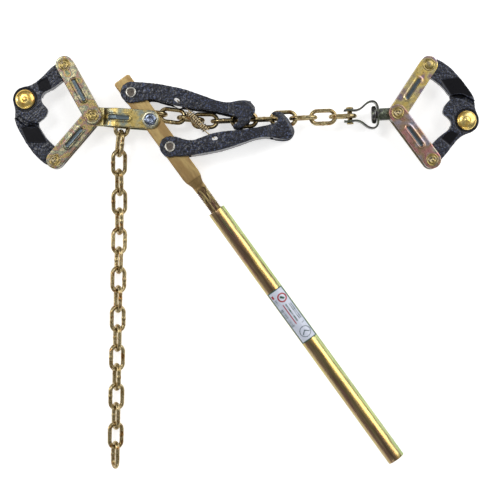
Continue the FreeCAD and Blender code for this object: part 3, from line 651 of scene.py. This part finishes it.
def weld(side):
    """The weld left proud on the outside of one wire, with a shallow neck each side of it."""
    k = len(LINE)
    mid = (7 if side else 14 + 22 + 7) / k

    def f(u, ang):
        x = (u - mid) * k * 1.17
        bulge = 0.10 * np.exp(-((x / 1.5) ** 2)) - 0.03 * np.exp(-(((np.abs(x) - 3.2) / 0.9) ** 2))
        rough = 0.02 * np.sin(ang * 5 + 1.0) * np.exp(-((x / 1.6) ** 2))[:, None]
        return 1 + bulge[:, None] + rough

    return f


for node, names in CHAINS.items():
    parts = []
    for i, n in enumerate(names):
        x, y, z, yaw, pitch, roll = LINKS[n]
        v, f = tube(LINE, 3.0, 22, True, weld((len(n) + i) % 2))
        parts.append((moved(v, place(x, y, z, yaw, pitch, roll)), f))
    build("vis_" + node, *merged(parts), node, mat_chain)


# ---------------------------------------------------------------- wire grabs
def rivet_profile(reach, r=6.4, h=2.0):
    """Upset rivet: a raised ring round a small dimple on both ends."""
    top = [(0.0, h - 1.0), (1.0, h - 0.95), (1.5, h - 1.25), (2.1, h - 1.3), (2.7, h - 0.9), (3.3, h - 0.25), (4.1, h), (4.9, h - 0.05), (5.5, h - 0.4), (5.9, h - 1.0)]
    top += [(6.1, 0.35), (6.7, 0.25), (7.1, 0.6), (7.7, 0.95), (8.3, 0.95), (8.8, 0.65), (9.0, 0.25), (8.9, 0.02)]
    up = [(a, reach + b) for a, b in top] + [(5.0, reach)]
    low = [(a, -b) for a, b in up][::-1]
    return up + low


def flat_profile(reach, r=6.4, h=2.0):
    up = [(0, reach + h), (r - 1.2, reach + h), (r - 0.5, reach + h - 0.25), (r, reach + h - 0.8), (r, reach + 0.3), (6.9, reach + 0.25), (7.4, reach + 0.7), (8.3, reach + 0.8), (8.9, reach + 0.5), (8.9, reach), (5.0, reach)]
    return up + [(a, -b) for a, b in up][::-1]


def groove_shade_mask(ob, m, x0, x1, r):
    """Marks the floor of a pressed slot, where the plate gets painted shade."""
    n = len(ob.data.vertices)
    co = np.zeros(n * 3)
    ob.data.vertices.foreach_get("co", co)
    loc = moved(co.reshape(-1, 3) * 1000, m.inverted())
    s = seg_dist(loc[:, :2], (x0, 0), (x1, 0))
    val = 1 - step(r - 2.2, r - 1.2, s)
    at = ob.data.attributes.new("groove", "FLOAT", "POINT")
    at.data.foreach_set("value", val.astype(np.float32))


def grab(pre, origin, heading, mats):
    g = place(origin[0], origin[1], ZM, heading)
    for which, to, z0, mat in (("short", SP, 12.0, mats[0]), ("long", LP, 8.0, mats[1])):
        turn = math.degrees(math.atan2(to[1], to[0]))
        lm = g @ place(0, 0, 0, turn)
        for side, s in (("front", 1), ("back", -1)):
            lo, hi = (z0, z0 + 3.5) if s == 1 else (-z0 - 3.5, -z0)
            rib = pressed(26.5, 55.5, 4.3)
            v, f = slab(
                capsule(82.0, 12.5), lambda p, hi=hi: np.full(len(p), hi), lambda p, lo=lo: np.full(len(p), lo), lm,
                holes=[(0, 0, 5.08), (82, 0, 5.08)], bevel=0.8, gap=1.0, grid=1.0,
                relief=rib if s == 1 else None,
                relief_low=(lambda p, d, rib=rib: -rib(p, d)) if s == -1 else None,
            )
            nm = "%s_%s_link_%s" % (pre, which, side)
            ob = build("vis_" + nm, v, f, nm, mat if s == 1 else mat_back)
            groove_shade_mask(ob, lm, 26.5, 55.5, 4.3)
        rv = rivet_profile(15.5 if which == "short" else 11.5)
        if pre == "right" and which == "long":
            rv = flat_profile(11.5)
        nm = "%s_%s_link_rivet" % (pre, which)
        build("vis_" + nm, *lathe(rv, 48, g @ place(to[0], to[1], 0)), nm, mat_rivet)
    nm = pre + "_grab_pivot_rivet"
    build("vis_" + nm, *lathe(rivet_profile(15.8), 48, g), nm, mat_rivet)
    # jaw bolt: wide flange and a softly domed head
    at = g @ place(JP[0], JP[1], 0)
    head = [(0, 18.3), (3, 18.25), (3.6, 17.9), (4.4, 18.0), (7, 17.7), (10, 16.9), (12, 15.9), (13.2, 14.7), (13.8, 13.6), (14.0, 12.9), (14.0, 12.3), (13.6, 11.95), (7.0, 11.95)]
    build(
        "vis_" + pre + "_jaw_bolt",
        *lathe(head + [(7.0, 11.0), (6.95, -15.2), (6.2, -16.2), (0, -16.2)], 72, at), pre + "_jaw_bolt", mat_bolt,
    )
    hexa = [(11.5 * math.cos(math.radians(a)), 11.5 * math.sin(math.radians(a))) for a in range(0, 360, 60)]
    v, f = slab(hexa, lambda p: np.full(len(p), -8.0), lambda p: np.full(len(p), -16.0), at, holes=[(0, 0, 7.0)], bevel=0.7, gap=1.2, grid=1.6)
    build("vis_" + pre + "_jaw_nut", v, f, pre + "_jaw_nut", mat_bolt)


grab("left", P0L, 174.18, (mat_link_l, mat_link_l))
grab("right", P0R, 1.78, (mat_link_r2, mat_link_r1))

# ---------------------------------------------------------------- tension plates and pivot
SPAN = math.hypot(M[0] - P0L[0], M[1] - P0L[1])
LEAN = math.degrees(math.atan2(M[1] - P0L[1], M[0] - P0L[0]))
tp = place(P0L[0], P0L[1], ZM, LEAN)
tension_in = lambda p: np.interp(p[:, 0], [-13, 15.6, 16.9, 34.4, 35.6, 120], [4.0, 4.0, 4.4, 18.1, 18.5, 18.5])
tension_out = lambda p: np.interp(p[:, 0], [-13, 14.6, 15.9, 33.0, 34.2, 120], [7.5, 7.5, 8.0, 22.1, 22.5, 22.5])
rib = pressed(24.5, 49.5, 4.6, 0.7, 1.2)
holes = [(0, 0, 5.0), (SPAN, 0, 6.0)]
v, f = slab(capsule(SPAN, 13.0), tension_out, tension_in, tp, holes, 0.8, 1.0, 1.1, relief=rib)
groove_shade_mask(build("vis_tension_plate_front", v, f, "tension_plate_front", mat_tension), tp, 24.5, 49.5, 4.6)
v, f = slab(capsule(SPAN, 13.0), lambda p: -tension_in(p), lambda p: -tension_out(p), tp, holes, 0.8, 1.0, 1.1, relief_low=lambda p, d: -rib(p, d))
build("vis_tension_plate_back", v, f, "tension_plate_back", mat_tension)
mp = place(M[0], M[1], ZM)
hexa = [(8.6 * math.cos(math.radians(a)), 8.6 * math.sin(math.radians(a))) for a in range(11, 371, 60)]
cap = slab(hexa, lambda p: 29.0 - 1.1 * step(5.5, 8.8, np.hypot(*p.T)) - 0.8 * (1 - step(2.5, 4.0, np.hypot(*p.T))), lambda p: np.full(len(p), 24.1), mp, (), 0.5, 0.7, 0.8)
shank = lathe([(0, 24.3), (6.0, 24.3), (6.0, -27.4), (5.4, -28.0), (0, -28.0)], 40, mp)
build("vis_main_pivot_bolt", *merged([cap, shank]), "main_pivot_bolt", mat_steel)
wash = lambda z: lathe([(6.08, z), (6.08, z + 1.6), (11.0, z + 1.6), (11.5, z + 1.2), (11.5, z + 0.4), (11.0, z)], 56, mp, True)
build("vis_main_pivot_washers", *merged([wash(22.5), wash(-24.1)]), "main_pivot_washers", mat_washer)
hexa = [(9.6 * math.cos(math.radians(a)), 9.6 * math.sin(math.radians(a))) for a in range(20, 380, 60)]
v, f = slab(hexa, lambda p: np.full(len(p), -24.1), lambda p: np.full(len(p), -29.0), mp, [(0, 0, 6.0)], 0.5, 0.8, 1.2)
build("vis_main_pivot_nut", v, f, "main_pivot_nut", mat_steel)

# ---------------------------------------------------------------- lever
lm = place(M[0], M[1], ZM, LEVER_DIR)
half = 12.9
PITCH = 2.54


def edge_teeth(sign):
    pts, x = [], 124.0
    while x < 192.0:
        pts += [(x, 7.3), (x + PITCH * 0.30, 8.65), (x + PITCH * 0.55, 8.65), (x + PITCH * 0.85, 7.3)]
        x += PITCH
    return [(a, b * sign) for a, b in pts]


cheek = (
    [(-71, -half + 3.5), (-70.2, -half + 1.2), (-68, -half), (96, -half), (101, -12.2), (108, -9.6), (112, -8.6), (122, -8.6)]
    + edge_teeth(-1)
    + [(195.4, -8.2), (196, -7.6), (196, 7.6), (195.4, 8.2)]
    + edge_teeth(1)[::-1]
    + [(122, 8.6), (112, 8.6), (108, 9.6), (101, 12.2), (96, half), (-68, half), (-70.2, half - 1.2), (-71, half - 3.5)]
)
lever_in = lambda p: np.interp(p[:, 0], [-80, 102.2, 103.8, 119.7, 121.3, 200], [13.0, 13.0, 12.4, 0.7, 0.1, 0.1])
lever_out = lambda p: np.interp(p[:, 0], [-80, 104.2, 105.8, 121.7, 123.3, 200], [18.0, 18.0, 17.4, 5.7, 5.1, 5.1])


def shank_out(p):
    # crowned so that the shank lies inside the thread circle
    z = lever_out(p)
    crown = np.sqrt(np.clip(9.1**2 - np.clip(np.abs(p[:, 1]), 0, 8.9) ** 2, 0.5, None))
    k = step(113, 120, p[:, 0])
    z = np.where(p[:, 0] > 112, np.minimum(z, crown * k + z * (1 - k)), z)
    # lengthwise grooves left by rolling
    groove = 0.7 * step(120, 124, p[:, 0]) * np.clip(np.cos(p[:, 1] * 2 * math.pi / 4.4) - 0.1, 0, 1) * (np.abs(p[:, 1]) < 6.2)
    cut = 0.45 * step(122, 125, p[:, 0]) * (0.5 - 0.5 * np.cos((p[:, 0] - 124.0 - PITCH * 0.42) * 2 * math.pi / PITCH)) * (np.abs(p[:, 1]) > 5.4)
    return z - groove - cut


loc = [(0, 0, 6.08)]
for q in (UP, LOW):
    w = lm.inverted() @ Vector((q[0], q[1], ZM))
    loc.append((w.x, w.y, 6.0))
lever_slots = lambda v: None
for side, top, bot in (("front", shank_out, lever_in), ("back", lambda p: -lever_in(p), lambda p: -shank_out(p))):
    v, f = slab(cheek, top, bot, lm, loc, 0.4, 0.6, 1.2)
    lv = moved(v, lm.inverted())
    sl = [1 if lv[q[0]][0] > 119.5 else 0 for q in f]
    build("vis_lever_plate_" + side, v, f, "lever_plate_" + side, [mat_lever, mat_shank], slots=sl)
tb = lm @ place(157.0, 0, 0, 0, 90)
bore, outer = 9.5, 12.7
prof = [(bore, 0.4), (bore, 435.6), (bore + 0.5, 436.0), (outer - 0.8, 436.0), (outer - 0.2, 435.7), (outer, 435.1)]
prof += [(outer, 435.1 - (434.2) * i / 60) for i in range(1, 61)]
prof += [(outer - 0.2, 0.3), (outer - 0.8, 0.0), (bore + 0.5, 0.0)]
build("vis_handle_tube", *lathe(prof, 72, tb, True), "handle_tube", mat_tube)
# sticker wrapped over the top of the tube
nu, nv, LAB = 170, 90, 85.6
lv, lf, ls = [], [], []
for layer, rr in ((0, outer + 0.22), (1, outer + 0.03)):
    for i in range(nu + 1):
        for j in range(nv + 1):
            a = math.radians(110 + 140 * j / nv)
            lv.append((rr * math.cos(a), rr * math.sin(a), 140 + LAB * i / nu))


def broken(x, y, seed):
    """A row of uneven marks, no letters."""
    k = int(x / 1.9)
    h = (k * 7919 + seed * 104729) % 97
    return (x / 1.9 - k) < 0.45 + (h % 5) * 0.1 and h % 7 != 0


def print_slot(x, y):
    """Which ink a spot of the sticker has: x along the tube, y across it to the right, in millimetres."""
    if x < 1.5 or x > LAB - 1.5 or abs(y) > 10.6:
        return 1
    d = math.hypot(x - 14.7, y - 3.0)
    if 4.9 < d < 6.9:
        return 2
    if d < 3.4 and abs((x - 14.7) - (y - 3.0)) < 2.2:
        return 1
    if 5.5 < x < 10.5 and -9.6 < y < -7.0:
        return 2
    if 27 < x < 60 and 5.0 < y < 9.2 and broken(x, y, 3) and abs(y - 7.1) > 0.5:
        return 3
    if 25 < x < 58 and 0.4 < y < 2.4 and broken(x + 1, y, 5):
        return 1
    if 24 < x < 57 and -3.0 < y < -1.9:
        return 2
    if 13 < x < 60 and (-9.8 < y < -8.9 or -8.0 < y < -7.1 or -6.2 < y < -5.6) and broken(x, y, 9):
        return 3
    d = math.hypot(x - 72.6, y - 1.6)
    if 7.3 < d < 8.2:
        return 3
    if d < 6 and abs(x - 72.6 + 2 - abs(y - 1.6) * 0.9) < 0.9:
        return 3
    return 0


idx = lambda l, i, j: l * (nu + 1) * (nv + 1) + i * (nv + 1) + j
for i in range(nu):
    for j in range(nv):
        lf.append([idx(0, i, j), idx(0, i + 1, j), idx(0, i + 1, j + 1), idx(0, i, j + 1)])
        ls.append(print_slot((i + 0.5) / nu * LAB, 12.92 * math.sin(math.radians(70 - 140 * (j + 0.5) / nv))))
        lf.append([idx(1, i, j), idx(1, i, j + 1), idx(1, i + 1, j + 1), idx(1, i + 1, j)])
        ls.append(0)
for i in range(nu):
    lf.append([idx(0, i, 0), idx(1, i, 0), idx(1, i + 1, 0), idx(0, i + 1, 0)])
    lf.append([idx(0, i, nv), idx(0, i + 1, nv), idx(1, i + 1, nv), idx(1, i, nv)])
    ls += [1, 1]
for j in range(nv):
    lf.append([idx(0, 0, j), idx(0, 0, j + 1), idx(1, 0, j + 1), idx(1, 0, j)])
    lf.append([idx(0, nu, j), idx(1, nu, j), idx(1, nu, j + 1), idx(0, nu, j + 1)])
    ls += [1, 1]
build("vis_handle_label", moved(lv, tb), lf, "handle_label", [mat_paper, mat_green, mat_red, mat_ink], slots=ls)
for nm, q in (("upper_finger_pin", UP), ("lower_finger_pin", LOW)):
    top = [(0, 25.25), (2.0, 25.2), (5.2, 25.15), (5.6, 25.35), (6.0, 25.7), (6.5, 25.8), (7.0, 25.65), (7.4, 25.2), (7.4, 24.5), (7.2, 24.3), (6.0, 24.3)]
    pv, pf = lathe(top + [(a, -b) for a, b in top][::-1], 56, place(q[0], q[1], ZM))
    ps = [1 if max(math.hypot(pv[i][0] - q[0], pv[i][1] - q[1]) for i in fc) < 5.4 else 0 for fc in pf]
    build("vis_" + nm, pv, pf, nm, [mat_pin, mat_face], slots=ps)


# ---------------------------------------------------------------- castings
def px(x, y, h):
    """Plan point seen at a spot of the straight-down view, at a height above the mid plane."""
    k = 1.42 * (1 - h / 2300.0)
    return ((x - 250) * k + 5.74, (250 - y) * k + 19.74)


def cast(node, voxel, panels, h, relief_at=(), rough=0.2, bolts=(), dips=(), bevels=(), low=()):
    src = nodes[node]
    o = bpy.data.objects.new("tmp_" + node, src.data.copy())
    bpy.context.scene.collection.objects.link(o)
    r = o.modifiers.new("r", "REMESH")
    r.mode = "VOXEL"
    r.voxel_size = voxel / 1000
    s = o.modifiers.new("s", "SMOOTH")
    s.factor = 0.5
    s.iterations = 5
    dg = bpy.context.evaluated_depsgraph_get()
    dg.update()
    me = bpy.data.meshes.new_from_object(o.evaluated_get(dg))
    bpy.data.objects.remove(o)
    n = len(me.vertices)
    co = np.zeros(n * 3)
    me.vertices.foreach_get("co", co)
    co = co.reshape(-1, 3) * 1000
    nr = np.zeros(n * 3)
    me.vertices.foreach_get("normal", nr)
    nr = nr.reshape(-1, 3)
    panel_and_bolt_shade = np.zeros(n)
    face = step(0.6, 0.9, nr[:, 2])
    for poly in panels:
        p = np.array([px(a, b, h) for a, b in poly])
        xy = co[:, :2]
        d = edge_dist(p, xy) * np.where(inside(p, xy), 1, -1)
        panel_and_bolt_shade = np.maximum(panel_and_bolt_shade, step(-0.3, 1.5, d) * face)
    # Painted shadow: a ring round each jaw bolt head is marked like a panel, so it is recessed, smoothed and painted
    # darker.
    for cx, cy in bolts:
        d = np.hypot(co[:, 0] - cx, co[:, 1] - cy)
        panel_and_bolt_shade = np.maximum(panel_and_bolt_shade, (1 - step(16.2, 17.2, d)) * face * 0.75)
    amp = vnoise(co, 2.6, 3) * rough * 1.5 + vnoise(co, 1.4, 7) * rough * 0.8 + vnoise(co, 9.0, 5) * 0.12
    for cx, cy, r0, r1 in relief_at:
        d = np.hypot(co[:, 0] - cx, co[:, 1] - cy)
        w = step(r0 - 2, r0, d) * (1 - step(r1, r1 + 2, d)) * face
        ridge = 1 - np.abs(vnoise(co, 4.2, 11)) * 2.2
        amp = amp + w * 0.55 * np.clip(ridge, -0.4, 1)
    for cx, cy, r in low:
        # the link plates sweep over this part of the face, so its relief goes down and not up
        d = np.hypot(co[:, 0] - cx, co[:, 1] - cy)
        amp = np.where((d < r) & (face > 0.05), np.minimum(amp - 0.22, 0.04), amp)
    amp = np.clip(amp - 0.12, -0.6, 0.45) * (1 - panel_and_bolt_shade) - panel_and_bolt_shade * 1.1
    co = co + nr * amp[:, None]
    rise = np.clip((co[:, 2] - ZM - 20.0) / 4.0, 0, 1)
    for x0, x1, x2, deep in dips:
        co[:, 2] -= deep * step(x0, x1, co[:, 0]) * (1 - step(x1, x2, co[:, 0])) * rise
    for line, wide, deep in bevels:
        d = np.min([seg_dist(co[:, :2], a, b) for a, b in zip(line, line[1:])], 0)
        co[:, 2] -= deep * np.clip(1 - d / wide, 0, 1) * rise
    me.vertices.foreach_set("co", (co / 1000).ravel())
    at = me.attributes.new("panel_and_bolt_shade", "FLOAT", "POINT")
    at.data.foreach_set("value", panel_and_bolt_shade.astype(np.float32))
    me.polygons.foreach_set("use_smooth", [True] * len(me.polygons))
    me.materials.clear()
    me.materials.append(mat_cast)
    me.update()
    me.name = "vis_" + node
    o = bpy.data.objects.new("vis_" + node, me)
    bpy.context.scene.collection.objects.link(o)
    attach(o, BODY[node])
    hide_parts(node)
    return o


def world(origin, heading, p):
    a = math.radians(heading)
    return (origin[0] + p[0] * math.cos(a) - p[1] * math.sin(a), origin[1] + p[0] * math.sin(a) + p[1] * math.cos(a))


sl, ll = world(P0L, 174.18, SP), world(P0L, 174.18, LP)
sr, lr = world(P0R, 1.78, SP), world(P0R, 1.78, LP)
cast("left_cam_jaw", 0.75, [[(40, 80), (47.5, 76.5), (50, 83), (52.5, 88.5), (44, 91.5), (38.5, 90), (37, 84)]], 11.7, [(sl[0], sl[1], 15, 27)], low=[(sl[0], sl[1], 36)], bolts=[world(P0L, 174.18, JP)])
cast("left_anvil_jaw", 0.75, [[(20.5, 128), (29, 124), (38, 126), (44, 137), (47.5, 143), (27, 143)]], 7.7, [(ll[0], ll[1], 15, 24)], low=[(ll[0], ll[1], 36)])
cast("right_anvil_jaw", 0.75, [[(440, 79.5), (462, 77), (469, 84), (476, 95), (461, 99), (451, 96)]], 7.7, [(lr[0], lr[1], 15, 26)], low=[(lr[0], lr[1], 36)])
cast("right_cam_jaw", 0.75, [[(445, 134), (451, 130), (459, 134), (450, 146), (441, 139)]], 11.7, [(sr[0], sr[1], 15, 24)], low=[(sr[0], sr[1], 36)], bolts=[world(P0R, 1.78, JP)])
cast("upper_finger", 0.8, [], 24.0, [(-92, 234, 0, 9), (-75, 231, 0, 7)], 0.2, dips=[(-62, -25, -17, 2.2)], bevels=[([(3, 230.3), (8.3, 226.6), (12.2, 221.5), (13.2, 217), (11.4, 212.2), (8.5, 206.9)], 4.2, 2.6)])
cast("lower_finger", 0.8, [], 24.0, [(-70, 166, 0, 9), (-48, 171, 0, 9), (-25, 175, 0, 7)], 0.2, dips=[(-6, 30, 38, 2.0)], bevels=[([(46, 214.6), (50.1, 213.4), (55.2, 209.4), (59.7, 204), (63.6, 197.6), (67.3, 190.9), (68.5, 185.8)], 4.2, 2.6)])

# ---------------------------------------------------------------- spring
ax, ay = HL[0] - HU[0], HL[1] - HU[1]
LEN = math.hypot(ax, ay)
spm = place(HU[0], HU[1], ZM + 17.5, math.degrees(math.atan2(ay, ax)))
turns = 11.0
k = int(turns * 26)
line = [(22.75 + 35.75 * i / k, 4.7 * math.cos(2 * math.pi * turns * i / k), 4.7 * math.sin(2 * math.pi * turns * i / k)) for i in range(k + 1)]
build("vis_spring_coil", *(lambda t: (moved(t[0], spm), t[1]))(tube(line, 0.9, 14)), "spring_coil", mat_spring)


def rounded(points, r=1.6, n=6):
    p = [Vector(q) for q in points]
    out = [p[0]]
    for a, b, c in zip(p, p[1:], p[2:]):
        ra = min(r, (b - a).length * 0.45, (c - b).length * 0.45)
        s, e = b + (a - b).normalized() * ra, b + (c - b).normalized() * ra
        for i in range(n + 1):
            t = i / n
            out.append(s * (1 - t) ** 2 + b * 2 * t * (1 - t) + e * t * t)
    out.append(p[-1])
    return [tuple(q) for q in out]


up_bar = rounded([(60.6, 3.6, 0), (60.6, 2.0, 0), (16.0, 2.0, 0), (1.2, 0.0, 0.0), (1.2, 0.0, 5.6)])
lo_bar = rounded([(20.5, -3.6, 0), (20.5, -2.0, 0), (LEN - 14.0, -2.0, 0), (LEN - 1.2, 0.0, 0.0), (LEN - 1.2, 0.0, 5.6)])
for nm, line in (("spring_upper_drawbar", up_bar), ("spring_lower_drawbar", lo_bar)):
    t = tube(line, 0.9, 14)
    build("vis_" + nm, moved(t[0], spm), t[1], nm, mat_spring)

# ---------------------------------------------------------------- clevis strap and swivel
reach = math.hypot(P0R[0] - PIN[0], P0R[1] - PIN[1])
swm = place(PIN[0], PIN[1], ZM, math.degrees(math.atan2(P0R[1] - PIN[1], P0R[0] - PIN[0])))


def machined(node, mat, width=0.5):
    """The CAD piece with its sharp edges rounded."""
    o = bpy.data.objects.new("tmp_" + node, nodes[node].data.copy())
    bpy.context.scene.collection.objects.link(o)
    w = o.modifiers.new("w", "WELD")
    w.merge_threshold = 0.00002
    d = o.modifiers.new("d", "DECIMATE")
    d.decimate_type = "DISSOLVE"
    d.angle_limit = math.radians(1.0)
    b = o.modifiers.new("b", "BEVEL")
    b.width = width / 1000
    b.segments = 3
    b.limit_method = "ANGLE"
    b.angle_limit = math.radians(40)
    b.harden_normals = False
    t = o.modifiers.new("t", "TRIANGULATE")
    dg = bpy.context.evaluated_depsgraph_get()
    dg.update()
    me = bpy.data.meshes.new_from_object(o.evaluated_get(dg))
    bpy.data.objects.remove(o)
    me.polygons.foreach_set("use_smooth", [True] * len(me.polygons))
    me.set_sharp_from_angle(angle=math.radians(35))
    me.materials.clear()
    me.materials.append(mat)
    o = bpy.data.objects.new("vis_" + node, me)
    bpy.context.scene.collection.objects.link(o)
    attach(o, BODY[node])
    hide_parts(node)
    return o


machined("swivel_strap", mat_grey, 0.6)
machined("swivel_eye", mat_grey, 0.9)
axm = swm @ place(0, 0, 0, 0, 90)
stud = [(0, 30.6), (9.5, 30.6), (11.6, 31.3), (12.5, 32.8), (12.6, 35.0), (12.0, 36.6), (10.2, 37.2), (4.8, 37.2), (4.8, 53.4), (4.4, 54.0), (0, 54.0)]
build("vis_swivel_stud", *lathe(stud, 56, axm), "swivel_stud", mat_grey)
pinm = swm @ place(0, 0, 0, 0, 0, -90)
pin = [(0, 12.8), (3.0, 12.7), (4.8, 12.0), (5.7, 10.9), (5.8, 10.2), (5.6, 9.8), (3.5, 9.8), (3.5, -9.8), (4.7, -9.8), (4.9, -10.2), (4.9, -11.2), (4.2, -12.0), (2.5, -12.2), (0, -12.2)]
build("vis_chain_clevis_pin", *lathe(pin, 48, pinm), "chain_clevis_pin", mat_rivet)

# ---------------------------------------------------------------- floor, light, camera
bpy.ops.mesh.primitive_plane_add(size=12, location=(0, 0, -0.0005))
floor = bpy.context.object
floor.name = "floor"
m, nt, b = tree("floor_white")
nt.links.new(mix(nt, noise(nt, coords(nt), 3, 2), (0.80, 0.80, 0.80), (0.82, 0.82, 0.82)), b.inputs["Base Color"])
b.inputs["Roughness"].default_value = 0.95
b.inputs["Specular IOR Level"].default_value = 0.0
b.inputs["Emission Color"].default_value = (1, 1, 1, 1)
b.inputs["Emission Strength"].default_value = 0.62
floor.data.materials.append(m)


def area(name, loc, size, power, target=(0, 0, 0), color=(1, 1, 1)):
    l = bpy.data.lights.new(name, "AREA")
    l.shape = "RECTANGLE"
    l.size, l.size_y = size
    l.energy = power
    l.color = color
    o = bpy.data.objects.new(name, l)
    bpy.context.scene.collection.objects.link(o)
    o.location = loc
    o.rotation_euler = (Vector(target) - Vector(loc)).to_track_quat("-Z", "Y").to_euler()
    return o


area("key", (1.3, 0.95, 1.35), (1.7, 1.7), 27)
area("top_left", (-0.9, 0.8, 2.3), (0.7, 0.6), 14)
area("left", (-2.2, 0.35, 0.75), (0.5, 1.2), 12)
area("front", (0.2, -1.9, 1.3), (1.8, 0.25), 6)
world_ = bpy.data.worlds.new("studio") if bpy.context.scene.world is None else bpy.context.scene.world
bpy.context.scene.world = world_
world_.use_nodes = True
bg = [n for n in world_.node_tree.nodes if n.type == "BACKGROUND"][0]
bg.inputs["Color"].default_value = (1, 1, 1, 1)
bg.inputs["Strength"].default_value = 0.26
bpy.context.scene.view_settings.view_transform = "Standard"

cam = bpy.data.cameras.new("camera")
cam.sensor_width = 36
cam.angle = 2 * math.atan(0.355 / 2.3)
cam.clip_start, cam.clip_end = 0.05, 50
co = bpy.data.objects.new("camera", cam)
bpy.context.scene.collection.objects.link(co)
co.location = (0.00574, 0.01974, 0.029 + 2.3)
co.rotation_euler = (0, 0, 0)
bpy.context.scene.camera = co
